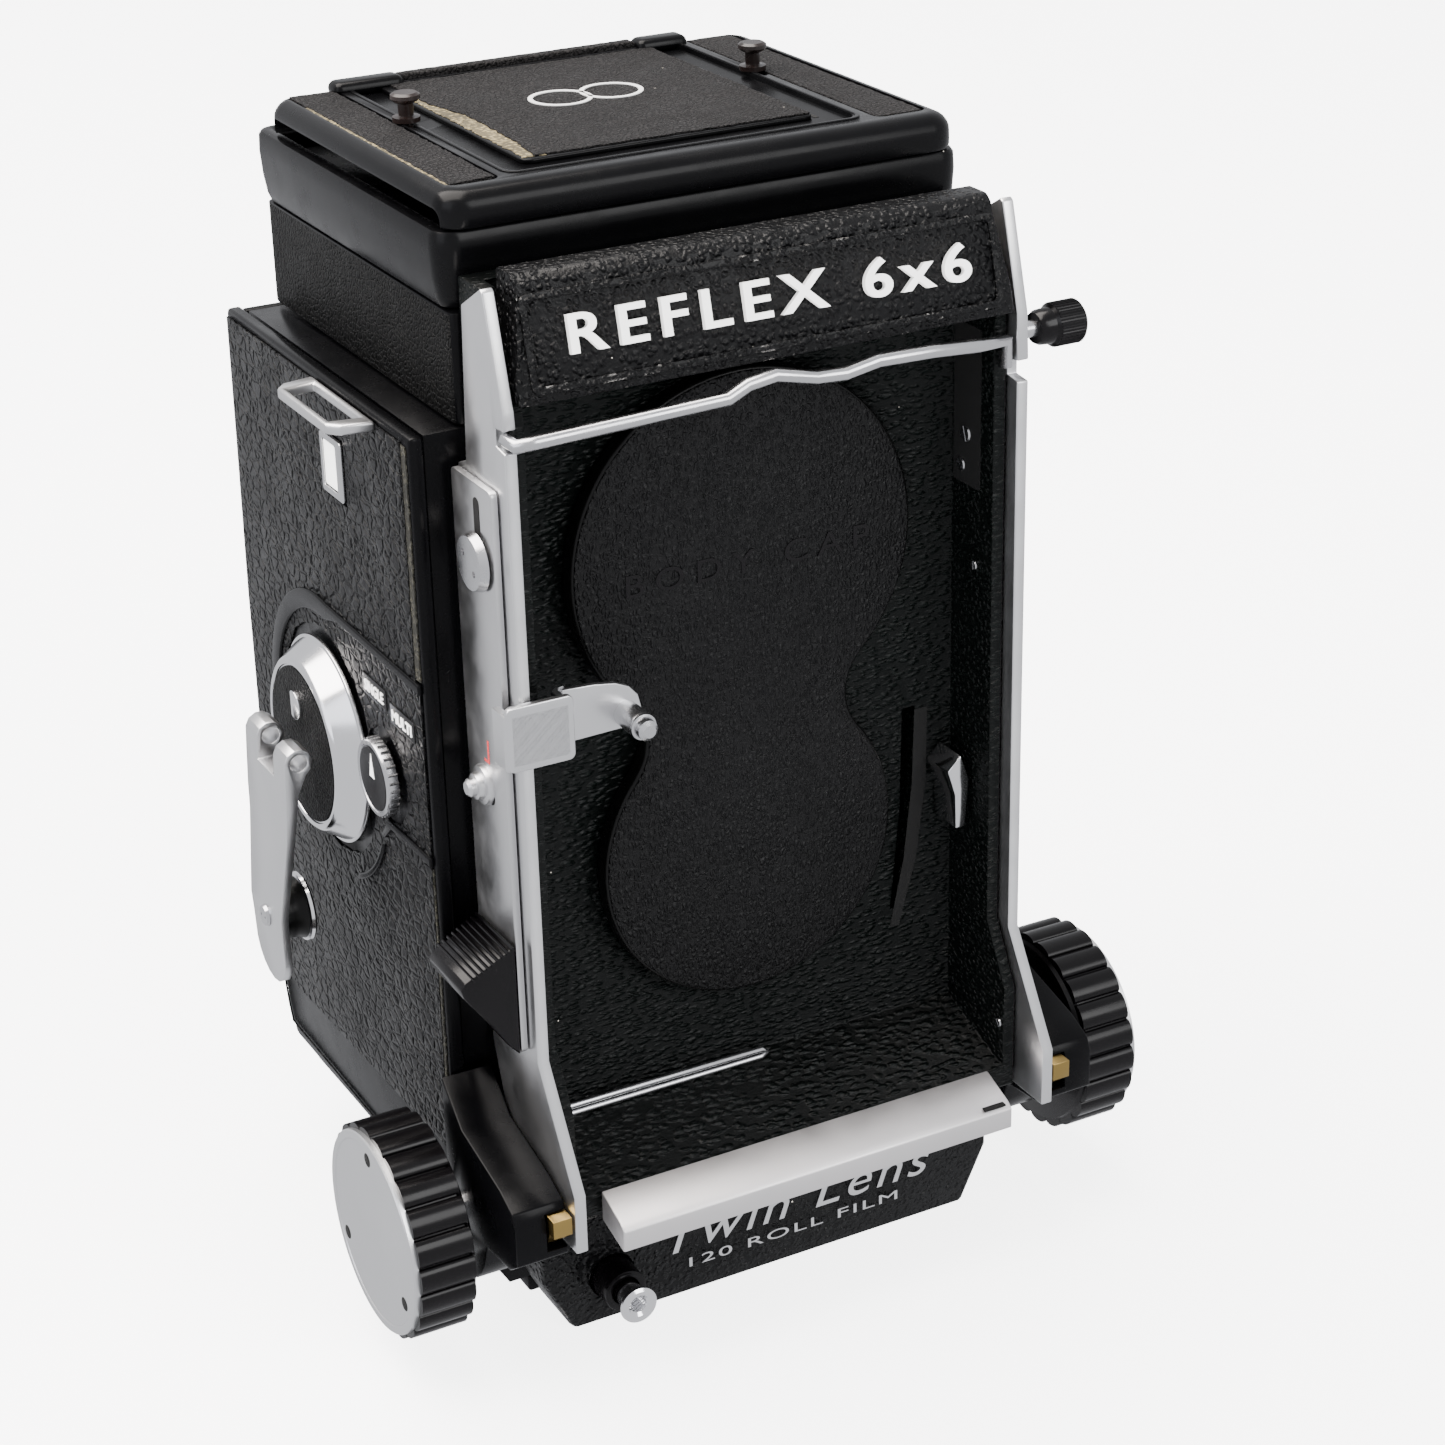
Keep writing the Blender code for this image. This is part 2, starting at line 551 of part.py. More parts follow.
def body_cap():
    slab("body_cap", cap_outline(), "Y", 9.6, PANEL_Y - 0.3, "leatherette", bevel=0.6)


def bellows():
    """The folded bellows between the lens panel and the body."""
    outer = rounded_rect((-31.4, 30.0), (31.4, 129.0), 3.0)
    inner = rounded_rect((-27.0, 34.6), (27.0, 124.6), 2.0)
    slab("bellows", outer, "Y", FRAME_BACK + 0.3, 22.0, "black_cloth", holes=(inner,))


def focusing_shaft():
    pivot = (0, FOCUS_Y, FOCUS_Z)
    rod("focus_axle", "X", pivot, 2.2, -KNOB_INNER + 0.1, KNOB_INNER - 0.1, "steel")
    for side, end in ((-1, "left"), (1, "right")):
        outline = gear_outline(PINION_TEETH, (FOCUS_Y, FOCUS_Z), math.pi / 2)
        bore = arc((FOCUS_Y, FOCUS_Z), 2.5, 0, 345, 24)
        slab(f"pinion_{end}", outline, "X", side * 39.9, side * 42.4, "brass", pivot=pivot, holes=(bore,))
        inner, outer = KNOB_INNER + 0.2, KNOB_OUTER
        profile = [(0, outer), (14.6, outer), (KNOB_R - 0.4, outer - 0.4), (KNOB_R, outer - 1.0),
                   (KNOB_R, inner + 1.4), (KNOB_R - 1.0, inner + 0.5), (8.0, inner), (0, inner)]
        turned(f"focus_knob_{end}", profile, "X" if side > 0 else "-X", pivot, "black_anodised", steps=40)


# ---------------------------------------------------------------- controls
def crank():
    pivot = (0, CRANK_Y, CRANK_Z)
    profile = [(0, 50.6), (12.2, 50.6), (13.1, 49.9), (15.4, 46.9), (15.7, 46.3), (2.9, 46.3), (2.9, 40.4),
               (0, 40.4)]
    hub = turned("crank_hub", profile, "-X", pivot, "chrome", steps=40)
    lug = [(-49.0, ARM_PIN_Z - 2.6), (-49.0, ARM_PIN_Z + 2.6)]
    lug += arc((ARM_PIN_X, ARM_PIN_Z), 2.2, 80, 280, 9)
    boolean(hub, slab("hub_lug", lug, "Y", 50.2, 56.0), "UNION")
    boolean(hub, rod("hub_pin", "Y", (ARM_PIN_X, 0, ARM_PIN_Z), 1.0, 45.6, 60.6, steps=16), "UNION")
    bore = arc((CRANK_Y, CRANK_Z), 3.2, 0, 345, 24)
    gear = gear_outline(CRANK_TEETH, (CRANK_Y, CRANK_Z), GEAR_LINE, GEAR_MODULE)
    slab("crank_gear", gear, "X", -42.8, -40.8, "brass", pivot=pivot, holes=(bore,))

    side = arc((ARM_PIN_X, ARM_PIN_Z), 2.2, -60, 170, 8)
    side += [(-56.6, ARM_PIN_Z - 4), (-57.0, 68.0), (-58.4, 55.0), (-58.0, 41.0), (-56.7, 41.0),
             (-57.1, 55.0), (-55.6, 68.0), (-54.6, ARM_PIN_Z - 5)]
    arm = slab("crank_arm", side, "Y", 45.2, 61.0, "satin_aluminium", pivot=(ARM_PIN_X, 53.1, ARM_PIN_Z))
    front = [(45.2, 90), (45.2, 72), (47.6, 52)] + arc((HANDLE_Y, 48.4), 5.8, 190, 350, 9)
    front += [(59.2, 52), (61.0, 72), (61.0, 90)]
    boolean(arm, slab("arm_outline", front, "X", -62, -48), "INTERSECT")
    boolean(arm, block("lug_slot", (-62, 49.8, ARM_PIN_Z - 3.2), (-48, 56.4, ARM_PIN_Z + 5)))
    boolean(arm, rod("pin_bore", "Y", (ARM_PIN_X, 0, ARM_PIN_Z), 1.3, 40, 66, steps=16))
    soften(arm, 0.3)
    knob = [(0, 4.7), (4.9, 4.7), (5.4, 4.1), (5.4, 3.5), (4.6, 2.4), (4.2, 0.8), (3.6, 0.3), (0, 0.3)]
    turned("crank_handle", knob, "X", (-57.0, HANDLE_Y, HANDLE_Z), "black_plastic", steps=24)


def selector():
    knob = [(0, 48.2), (5.2, 48.2), (5.7, 47.8), (5.7, 46.7), (5.3, 46.3), (1.9, 46.3), (1.9, 43.9),
            (0, 43.9)]
    turned("selector_knob", knob, "-X", (0, SELECTOR_Y, SELECTOR_Z), "steel", steps=32)


def spool_knobs():
    for name, at_y, at_z in (("spool_knob_upper", TAKE_Y, TAKE_Z), ("spool_knob_lower", SUPPLY_Y, SUPPLY_Z)):
        knob = [(0, 51.6), (5.8, 51.6), (6.4, 51.0), (6.4, 46.3), (2.6, 46.3), (2.6, 31.4), (0, 31.4)]
        turned(name, knob, "X", (0, at_y, at_z), "black_anodised", steps=32)


def release_parts():
    """The long release bar on the left plate, its ribbed thumb piece and its bracket."""
    inner, outer = -(PLATE_OUT + 0.25), -(PLATE_OUT + 1.25)
    slab("release_bar", rounded_rect((2.4, 50.4), (14.8, 132.9), 0.8), "X", outer, inner,
         "satin_aluminium")
    wedge = [(outer - 0.2, 67.4), (-48.6, 63.7), (-49.1, 62.8), (-48.7, 61.4), (-45.2, 56.6),
             (-42.6, 52.4), (outer - 0.2, 50.4)]
    slab("thumb_piece", wedge, "Y", 2.2, 13.4, "black_anodised", bevel=0.4)
    hook = [(-41.3, 2.1), (-42.4, 2.1), (-42.4, -2.3), (-32.4, -2.3), (-32.4, 2.4), (-30.0, 2.4),
            (-30.0, 3.5), (-33.5, 3.5), (-33.5, -1.2), (-41.3, -1.2)]
    bracket = slab("release_bracket", hook, "Z", 96.0, 104.8, "satin_aluminium")
    tongue = [(-31.0, 95.6), (-23.4, 95.8)] + arc((PIN_X, PIN_Z), PIN_R + 0.5, -90, 20, 6) + [
        (-20.8, 100.6), (-23.2, 102.3), (-26.3, 103.0), (-31.0, 103.4)]
    boolean(bracket, slab("tongue", tongue, "Y", 2.45, 3.45), "UNION")
    pin = [(0, 2.9), (PIN_R, 2.9), (PIN_R, -2.6), (1.5, -2.9), (1.5, -4.1), (0.9, -4.7), (0, -4.7)]
    boolean(bracket, turned("tongue_pin", pin, "Y", (PIN_X, 0, PIN_Z), steps=20), "UNION")


def wire_latch():
    left = [(-38.5, 3.4, 140.1), (-38.5, -1.3, 140.1), (-36.0, -1.6, 140.3)]
    middle = [(-8.5, -1.6, 141.0), (-5.6, -1.6, 142.4), (-1.5, -1.6, 143.0), (4.5, -1.6, 141.6),
              (9.0, -1.6, 141.3), (14.0, -1.6, 142.2)]
    right = [(22.5, -1.6, 142.0), (30.0, -0.8, 141.2)]
    points = [(x, y - 0.6, z) for x, y, z in left + middle + right]
    points[0] = (-38.5, 1.4, 140.1)
    points += [(WIRE_HINGE_X, WIRE_HINGE_Y, 140.3), (WIRE_HINGE_X, WIRE_HINGE_Y, 136.6)]
    wire("lens_wire", points, WIRE_R, "steel", (WIRE_HINGE_X, WIRE_HINGE_Y, 139.0))
    knob = [(0, 50.9), (2.6, 50.9), (3.1, 50.3), (3.1, 45.7), (2.7, 45.4), (2.6, 43.2), (2.0, 41.6),
            (1.2, 41.0), (1.2, 39.8), (0, 39.8)]
    turned("lock_knob", knob, "X", (0, LOCK_Y, LOCK_Z), "black_anodised", steps=24)


def cocking_lever():
    side = [(31.0, 74.0), (33.2, 76.2), (34.6, 72.0), (34.0, 64.5), (32.4, 64.5), (32.2, 70.0)]
    slab("cocking_lever", side, "Y", 6.4, 12.4, "chrome", pivot=LEVER_PIVOT)


# ---------------------------------------------------------------- door and hood
def back_door():
    """The film door: one bent shell from the top of the back to its hinge at the base."""
    outer = [(BODY_BACK - 0.2, BODY_TOP - 0.6), (BODY_BACK + 0.6, 118), (BODY_BACK + 1.8, 90),
             (BODY_BACK + 1.8, 62)] + arc((BODY_BACK + 1.4 - REAR_R, 27.6), REAR_R, 0, -90, 10)
    inner = arc((BODY_BACK + 1.4 - REAR_R, 27.6), REAR_R - 2.2, -90, 0, 10) + [
        (BODY_BACK - 0.6, 62), (BODY_BACK - 0.6, 118), (BODY_BACK - 1.8, BODY_TOP - 0.6)]
    half = BODY_HALF - COVER_THICK - 0.4
    door = slab("back_door", outer + inner, "X", -half, half, "leatherette", pivot=(0, DOOR_Y, DOOR_Z))
    taper_sides(door)
    block("pressure_plate", (-31.0, 66.0, 35.0), (31.0, 67.4, 95.0), "steel")
    block("door_latch", (-8.0, 85.2, 123.0), (8.0, 87.2, 132.0), "black_enamel", 0.5)


def hood():
    """The folding hood: lid with its studs, three wings and the magnifier."""
    outer = rounded_rect((-HOOD_HALF + 0.8, HOOD_FRONT - 0.6), (HOOD_HALF - 0.8, HOOD_BACK - 1.4), 3.0)
    lid = slab("hood_lid", outer, "Z", HOOD_TOP + 0.3, LID_TOP, "black_enamel", bevel=0.9,
               pivot=(0, LID_HINGE_Y, LID_HINGE_Z))
    boolean(lid, block("lid_hollow", (-36.6, 20.0, 150), (36.6, 77.4, 166.6)))
    for side in (-1, 1):
        middle = side * STUD_X
        boolean(lid, block(f"stud_slot_{side}", (middle - 0.95, 50.9, 160), (middle + 0.95, 56.0, 172)))
    for name, side in (("stud_left", -1), ("stud_right", 1)):
        stud = [(0, 172.1), (1.9, 172.1), (2.1, 171.7), (2.1, 171.1), (0.8, 170.9), (0.8, 166.2),
                (1.8, 166.2), (1.8, 165.6), (0, 165.6)]
        turned(name, stud, "Z", (side * STUD_X, STUD_Y, 0), "black_anodised", steps=20)

    side_wing = [(WING_X, 76.0), (WING_X, 24.0), (WING_X - 11.5, 24.0), (WING_X - WING_W, 40.0),
                 (WING_X - WING_W, 70.0), (WING_X - 18, 76.0)]
    slab("hood_wing_left", mirrored(side_wing), "Z", WING_Z - 0.3, WING_Z + 0.3, "black_enamel",
         pivot=(-WING_X, 50, WING_Z))
    slab("hood_wing_right", side_wing, "Z", WING_Z - 1.5, WING_Z - 0.9, "black_enamel",
         pivot=(WING_X, 50, WING_Z - 1.2))
    rear = [(32.5, REAR_WING_Y), (29.5, REAR_WING_Y - 4.0), (13.0, REAR_WING_Y - WING_W)]
    slab("hood_wing_rear", rear + mirrored(rear), "Z", REAR_WING_Z - 0.3, REAR_WING_Z + 0.3, "black_enamel",
         pivot=(0, REAR_WING_Y, REAR_WING_Z))
    frame = rounded_rect((-12.5, MAG_Y - 24.4), (12.5, MAG_Y), 1.5)
    ring = arc((0, MAG_Y - 12.4), 9.6, 0, 350, 32)
    slab("magnifier_frame", frame, "Z", MAG_Z - 0.5, MAG_Z + 0.5, "black_enamel", pivot=(0, MAG_Y, MAG_Z),
         holes=(ring,))
    lens = [(0, 0.45), (6, 0.3), (9.3, 0.0), (6, -0.3), (0, -0.45)]
    turned("magnifier_lens", lens, "Z", (0, MAG_Y - 12.4, MAG_Z), "clear_glass", steps=32)


def build():
    main_casting()
    covers()
    base()
    tripod_and_release()
    film_parts()
    mirror_and_screen()
    hood_base()
    strap_lugs()
    accessory_shoe()
    focus_arm("focus_arm_left", -1)
    focus_arm("focus_arm_right", 1)
    standard()
    body_cap()
    bellows()
    focusing_shaft()
    crank()
    selector()
    spool_knobs()
    release_parts()
    wire_latch()
    cocking_lever()
    back_door()
    hood()


clear_scene()
PARTS = new_collection("twin_lens_reflex_camera")
CUTTERS = new_collection("cutters")
build()
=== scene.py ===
"""Looks of a twin lens reflex camera body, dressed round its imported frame.

Sizes are millimetres on the maker's drawing: X to the right with the lens side facing the
viewer, Y from the lens side to the film door, Z up from the base plate.
"""

import logging
import math
import random
from collections.abc import Callable, Iterable, Sequence
from dataclasses import dataclass, field
from enum import Enum

import bmesh
import bpy
from mathutils import Matrix, Vector


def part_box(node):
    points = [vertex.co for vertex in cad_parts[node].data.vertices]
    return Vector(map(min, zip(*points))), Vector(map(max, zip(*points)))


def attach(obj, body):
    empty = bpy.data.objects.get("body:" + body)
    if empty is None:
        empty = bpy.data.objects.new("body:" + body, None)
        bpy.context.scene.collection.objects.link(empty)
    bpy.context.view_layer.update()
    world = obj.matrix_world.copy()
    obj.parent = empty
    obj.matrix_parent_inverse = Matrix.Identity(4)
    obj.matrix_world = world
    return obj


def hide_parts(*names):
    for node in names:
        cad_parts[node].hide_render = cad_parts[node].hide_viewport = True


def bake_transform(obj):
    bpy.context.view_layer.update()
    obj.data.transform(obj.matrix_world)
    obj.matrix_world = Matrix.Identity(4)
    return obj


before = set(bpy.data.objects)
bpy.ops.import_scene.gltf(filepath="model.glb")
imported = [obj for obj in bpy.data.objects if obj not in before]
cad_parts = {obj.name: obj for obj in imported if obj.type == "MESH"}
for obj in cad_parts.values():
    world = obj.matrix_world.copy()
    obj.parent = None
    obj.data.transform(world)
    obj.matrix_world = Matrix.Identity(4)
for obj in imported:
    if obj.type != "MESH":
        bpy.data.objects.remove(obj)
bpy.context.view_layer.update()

LOG = logging.getLogger("twin_lens_reflex")
MM = 0.001
SEED = 7
# The casting's front face lies this far behind the drawing's zero.
CASTING_FRONT = 17.0
SHIFT_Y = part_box("main_casting")[0].y - CASTING_FRONT * MM

Pair = tuple[float, float]
Triple = tuple[float, float, float]
Rule = Callable[[Vector, Vector], bool]


def at(point: Sequence[float]) -> Vector:
    """A point of the drawing, in millimetres, as a place in the frame, in metres."""
    return Vector((point[0] * MM, point[1] * MM + SHIFT_Y, point[2] * MM))


def on_drawing(place: Vector) -> Vector:
    """A place in the frame as a point of the drawing, in millimetres."""
    return Vector((place.x, place.y - SHIFT_Y, place.z)) / MM


def linear(colour: str) -> tuple[float, float, float, float]:
    """An sRGB hex colour as linear red, green, blue and alpha."""
    parts = [int(colour[i:i + 2], 16) / 255 for i in (1, 3, 5)]
    toned = [c / 12.92 if c <= 0.04045 else ((c + 0.055) / 1.055) ** 2.4 for c in parts]
    return (toned[0], toned[1], toned[2], 1.0)


def add_node(tree: bpy.types.NodeTree, kind: str, inputs: dict | None = None,
             **settings: object) -> bpy.types.Node:
    """Adds a node with its settings, its values and its links.

    Args:
        tree: The tree that gets the node.
        kind: The node's type name.
        inputs: Socket name or number to a value, or to the output that feeds it.
        **settings: Properties of the node itself.

    Returns:
        The node.
    """
    node = tree.nodes.new(kind)
    for name, value in settings.items():
        setattr(node, name, value)
    for key, value in (inputs or {}).items():
        if isinstance(value, bpy.types.NodeSocket):
            tree.links.new(value, node.inputs[key])
        else:
            node.inputs[key].default_value = value
    return node


# ---------------------------------------------------------------------------- finishes
class Grain(Enum):
    """How a surface is patterned up close."""

    SMOOTH = "smooth"
    PEBBLE = "pebble"
    WRINKLE = "wrinkle"
    KID = "kid"
    BLASTED = "blasted"
    BRUSHED = "brushed"


@dataclass(frozen=True)
class Finish:
    """One surface: what it is made of and how it was finished."""

    name: str
    colour: str
    rough: float
    slot: str = ""
    metallic: float = 0.0
    grain: Grain = Grain.SMOOTH
    grain_mm: float = 1.0
    relief_mm: float = 0.0
    stretch: Triple = (1.0, 1.0, 1.0)
    turn: Triple = (0.0, 0.0, 0.0)
    # How much darker the colour is painted in the grain's valleys: painted shade.
    shade: float = 0.0
    rough_span: float = 0.0
    mottle: float = 0.0
    coat: float = 0.0
    coat_rough: float = 0.15
    specular: float = 0.5
    dust: float = 0.0
    chips: str = ""
    transmission: float = 0.0
    ior: float = 1.5

    def material(self) -> bpy.types.Material:
        """The finish as a node material, made once."""
        found = bpy.data.materials.get(self.name)
        if found:
            return found
        made = bpy.data.materials.new(self.name)
        made.use_nodes = True
        tree = made.node_tree
        shader = tree.nodes["Principled BSDF"]
        shader.inputs["IOR"].default_value = self.ior
        shader.inputs["Specular IOR Level"].default_value = self.specular
        shader.inputs["Metallic"].default_value = self.metallic
        shader.inputs["Transmission Weight"].default_value = self.transmission
        shader.inputs["Coat Weight"].default_value = self.coat
        shader.inputs["Coat Roughness"].default_value = self.coat_rough
        place = add_node(tree, "ShaderNodeTexCoord").outputs["Object"]
        height = self._grain(tree, place)
        colour = self._colour(tree, place, height)
        rough = self._rough(tree, place)
        if self.dust:
            colour, rough = self._dusted(tree, place, colour, rough)
        if self.chips:
            colour, rough = self._chipped(tree, place, shader, colour, rough)
        tree.links.new(colour, shader.inputs["Base Color"])
        tree.links.new(rough, shader.inputs["Roughness"])
        if height is not None:
            bump = add_node(tree, "ShaderNodeBump", {
                "Strength": 1.0, "Distance": self.relief_mm * MM, "Height": height})
            tree.links.new(bump.outputs["Normal"], shader.inputs["Normal"])
        return made

    def _grain(self, tree: bpy.types.NodeTree, place: bpy.types.NodeSocket
               ) -> bpy.types.NodeSocket | None:
        """Adds the nodes of the pattern's height.

        Args:
            tree: The material's tree.
            place: Object coordinates.

        Returns:
            The height from 0 to 1, or None on a smooth surface.
        """
        if self.grain is Grain.SMOOTH:
            return None
        scale = 1 / (self.grain_mm * MM)
        laid = add_node(tree, "ShaderNodeMapping", {
            "Vector": place, "Scale": self.stretch,
            "Rotation": tuple(math.radians(a) for a in self.turn)}).outputs["Vector"]
        fine = add_node(tree, "ShaderNodeTexNoise", {
            "Vector": laid, "Scale": scale * 2.2, "Detail": 3.0, "Roughness": 0.6})
        if self.grain in (Grain.BLASTED, Grain.BRUSHED):
            return fine.outputs["Fac"]
        swirl = add_node(tree, "ShaderNodeTexNoise", {
            "Vector": laid, "Scale": scale * 0.7, "Detail": 2.0})
        shift = add_node(tree, "ShaderNodeVectorMath", {
            0: swirl.outputs["Color"], 1: (self.grain_mm * MM * 1.1,) * 3, 2: laid},
            operation="MULTIPLY_ADD")
        if self.grain is Grain.WRINKLE:
            ridge = add_node(tree, "ShaderNodeTexVoronoi", {
                "Vector": shift.outputs[0], "Scale": scale, "Smoothness": 0.35},
                feature="SMOOTH_F1")
            body = add_node(tree, "ShaderNodeMapRange", {
                "Value": ridge.outputs["Distance"], "From Min": 0.12, "From Max": 0.62,
                "To Min": 1.0, "To Max": 0.0}, interpolation_type="SMOOTHSTEP")
        else:
            cells = add_node(tree, "ShaderNodeTexVoronoi", {
                "Vector": shift.outputs[0], "Scale": scale, "Randomness": 0.95},
                feature="DISTANCE_TO_EDGE")
            body = add_node(tree, "ShaderNodeMapRange", {
                "Value": cells.outputs["Distance"], "From Min": 0.0,
                "From Max": 0.22 if self.grain is Grain.PEBBLE else 0.4},
                interpolation_type="SMOOTHSTEP")
        return add_node(tree, "ShaderNodeMath", {
            0: fine.outputs["Fac"], 1: 0.25, 2: body.outputs["Result"]},
            operation="MULTIPLY_ADD").outputs[0]

    def _colour(self, tree: bpy.types.NodeTree, place: bpy.types.NodeSocket,
                height: bpy.types.NodeSocket | None) -> bpy.types.NodeSocket:
        """Adds the colour, with painted shade in the grain's valleys, and uneven over
        centimetres.

        Args:
            tree: The material's tree.
            place: Object coordinates.
            height: The grain's height, if it has one.

        Returns:
            The colour.
        """
        uneven = add_node(tree, "ShaderNodeTexNoise", {
            "Vector": place, "Scale": 55.0, "Detail": 3.0})
        span = add_node(tree, "ShaderNodeMapRange", {
            "Value": uneven.outputs["Fac"], "From Min": 0.3, "From Max": 0.7,
            "To Min": 1 - self.mottle, "To Max": 1 + self.mottle})
        level = span.outputs["Result"]
        # Painted shade: the colour darkens where the grain's height is low.
        if height is not None and self.shade:
            valley_shade = add_node(tree, "ShaderNodeMapRange", {
                "Value": height, "From Min": 0.0, "From Max": 1.0,
                "To Min": 1 - self.shade, "To Max": 1.0})
            level = add_node(tree, "ShaderNodeMath", {
                0: level, 1: valley_shade.outputs["Result"]}, operation="MULTIPLY").outputs[0]
        toned = add_node(tree, "ShaderNodeVectorMath", {
            0: linear(self.colour)[:3], "Scale": level}, operation="SCALE")
        return toned.outputs["Vector"]

    def _rough(self, tree: bpy.types.NodeTree, place: bpy.types.NodeSocket
               ) -> bpy.types.NodeSocket:
        """Adds the roughness, uneven as handling leaves it.

        Args:
            tree: The material's tree.
            place: Object coordinates.

        Returns:
            The roughness.
        """
        smear = add_node(tree, "ShaderNodeTexNoise", {
            "Vector": place, "Scale": 160.0, "Detail": 4.0, "Roughness": 0.65})
        return add_node(tree, "ShaderNodeMapRange", {
            "Value": smear.outputs["Fac"], "From Min": 0.3, "From Max": 0.7,
            "To Min": max(0.02, self.rough - self.rough_span),
            "To Max": self.rough + self.rough_span}).outputs["Result"]

    def _dusted(self, tree: bpy.types.NodeTree, place: bpy.types.NodeSocket,
                colour: bpy.types.NodeSocket, rough: bpy.types.NodeSocket
                ) -> tuple[bpy.types.NodeSocket, bpy.types.NodeSocket]:
        """Adds pale specks about a tenth of a millimetre across.

        Args:
            tree: The material's tree.
            place: Object coordinates.
            colour: The clean colour.
            rough: The clean roughness.

        Returns:
            The dusted colour and roughness.
        """
        specks = add_node(tree, "ShaderNodeTexVoronoi", {"Vector": place, "Scale": 300.0})
        chosen = add_node(tree, "ShaderNodeSeparateColor", {"Color": specks.outputs["Color"]})
        reach = add_node(tree, "ShaderNodeMapRange", {
            "Value": chosen.outputs["Red"], "From Min": 1 - self.dust, "From Max": 1.0,
            "To Min": 0.0, "To Max": 0.045})
        hit = add_node(tree, "ShaderNodeMath", {
            0: specks.outputs["Distance"], 1: reach.outputs["Result"]},
            operation="LESS_THAN")
        tint = add_node(tree, "ShaderNodeMix", {
            "Factor": hit.outputs[0], "A": colour, "B": linear("#c8c2b8")}, data_type="RGBA")
        dull = add_node(tree, "ShaderNodeMix", {
            "Factor": hit.outputs[0], "A": rough, "B": 0.8})
        return tint.outputs["Result"], dull.outputs["Result"]

    def _chipped(self, tree: bpy.types.NodeTree, place: bpy.types.NodeSocket,
                 shader: bpy.types.Node, colour: bpy.types.NodeSocket,
                 rough: bpy.types.NodeSocket
                 ) -> tuple[bpy.types.NodeSocket, bpy.types.NodeSocket]:
        """Adds bare metal where an edge has lost its paint.

        Args:
            tree: The material's tree.
            place: Object coordinates.
            shader: The surface's shader, whose metallic value this feeds.
            colour: The painted colour.
            rough: The painted roughness.

        Returns:
            The colour and the roughness with the chips.
        """
        rounded = add_node(tree, "ShaderNodeBevel", {"Radius": 0.35 * MM}, samples=4)
        flat = add_node(tree, "ShaderNodeNewGeometry")
        turn = add_node(tree, "ShaderNodeVectorMath", {
            0: rounded.outputs[0], 1: flat.outputs["Normal"]}, operation="DOT_PRODUCT")
        edge = add_node(tree, "ShaderNodeMapRange", {
            "Value": turn.outputs["Value"], "From Min": 0.99, "From Max": 0.93})
        patch = add_node(tree, "ShaderNodeTexNoise", {
            "Vector": place, "Scale": 210.0, "Detail": 5.0, "Roughness": 0.7})
        lost = add_node(tree, "ShaderNodeMapRange", {
            "Value": patch.outputs["Fac"], "From Min": 0.6, "From Max": 0.64})
        bare = add_node(tree, "ShaderNodeMath", {
            0: edge.outputs["Result"], 1: lost.outputs["Result"]}, operation="MULTIPLY")
        tint = add_node(tree, "ShaderNodeMix", {
            "Factor": bare.outputs[0], "A": colour, "B": linear(self.chips)},
            data_type="RGBA")
        worn = add_node(tree, "ShaderNodeMix", {
            "Factor": bare.outputs[0], "A": rough, "B": 0.35})
        tree.links.new(bare.outputs[0], shader.inputs["Metallic"])
        return tint.outputs["Result"], worn.outputs["Result"]


# Stoved enamel on a die casting: deep black with soft, wide reflections and settled dust.
ENAMEL = Finish("stoved_black_enamel", "#040405", 0.26, "black_enamel", grain=Grain.BLASTED,
                grain_mm=0.5, relief_mm=0.004, rough_span=0.05, mottle=0.08, specular=0.1,
                dust=0.1)
# The same enamel on the lid, handled most: a little greyer and smoother.
LID_ENAMEL = Finish("rubbed_black_enamel", "#060607", 0.25, "black_enamel",
                    grain=Grain.BLASTED, grain_mm=0.6, relief_mm=0.003, rough_span=0.06,
                    mottle=0.1, specular=0.12, dust=0.14)
# Wrinkle paint on the nameplate: tight irregular ridges that break the highlights up.
WRINKLE = Finish("wrinkle_paint", "#060607", 0.36, "black_enamel", grain=Grain.WRINKLE,
                 grain_mm=0.9, relief_mm=0.35, shade=0.5, rough_span=0.05, specular=0.2,
                 dust=0.1, chips="#c9c6c2")
# Creased lining of the lens recess: short level folds, quite dull, faintly green.
LINING = Finish("creased_black_lining", "#040706", 0.4, "leatherette", grain=Grain.WRINKLE,
                grain_mm=1.0, relief_mm=0.3, stretch=(0.6, 1.0, 1.5), shade=0.6,
                rough_span=0.08, specular=0.16, dust=0.1)
# Embossed leatherette on the body's sides: shiny pebbles with creases between, the creases
# darkened with painted shade.
LEATHERETTE = Finish("pebbled_leatherette", "#0a0a0b", 0.34, "leatherette",
                     grain=Grain.PEBBLE, grain_mm=1.9, relief_mm=0.55,
                     stretch=(1.0, 0.8, 1.15), turn=(20.0, 0.0, 0.0), shade=0.8,
                     rough_span=0.08, mottle=0.08, specular=0.12, dust=0.06)
# Worn leatherette on the lid: flattened grain, dull with handling; its grey colour is painted
# light from above.
TOPLIT_AGED_LEATHERETTE = Finish("toplit_aged_leatherette", "#1c1a1a", 0.66, "leatherette",
                          grain=Grain.PEBBLE, grain_mm=0.7, relief_mm=0.6, shade=0.55,
                          rough_span=0.08, mottle=0.2, specular=0.2, dust=0.25)
# Fine leatherette on the finder tier and the crank's face.
TIER_LEATHERETTE = Finish("fine_leatherette", "#090909", 0.5, "leatherette",
                          grain=Grain.PEBBLE, grain_mm=0.8, relief_mm=0.25, shade=0.5,
                          rough_span=0.06, mottle=0.1, specular=0.1)
# Kid-grained cover on the moulded cap: fine slanting ripples with a soft sheen.
KID = Finish("kid_grained_leather", "#09090a", 0.46, "leatherette", grain=Grain.KID,
             grain_mm=0.85, relief_mm=0.26, stretch=(1.35, 1.0, 0.8),
             turn=(0.0, 34.0, 0.0), shade=0.5, rough_span=0.07, mottle=0.15,
             specular=0.2)
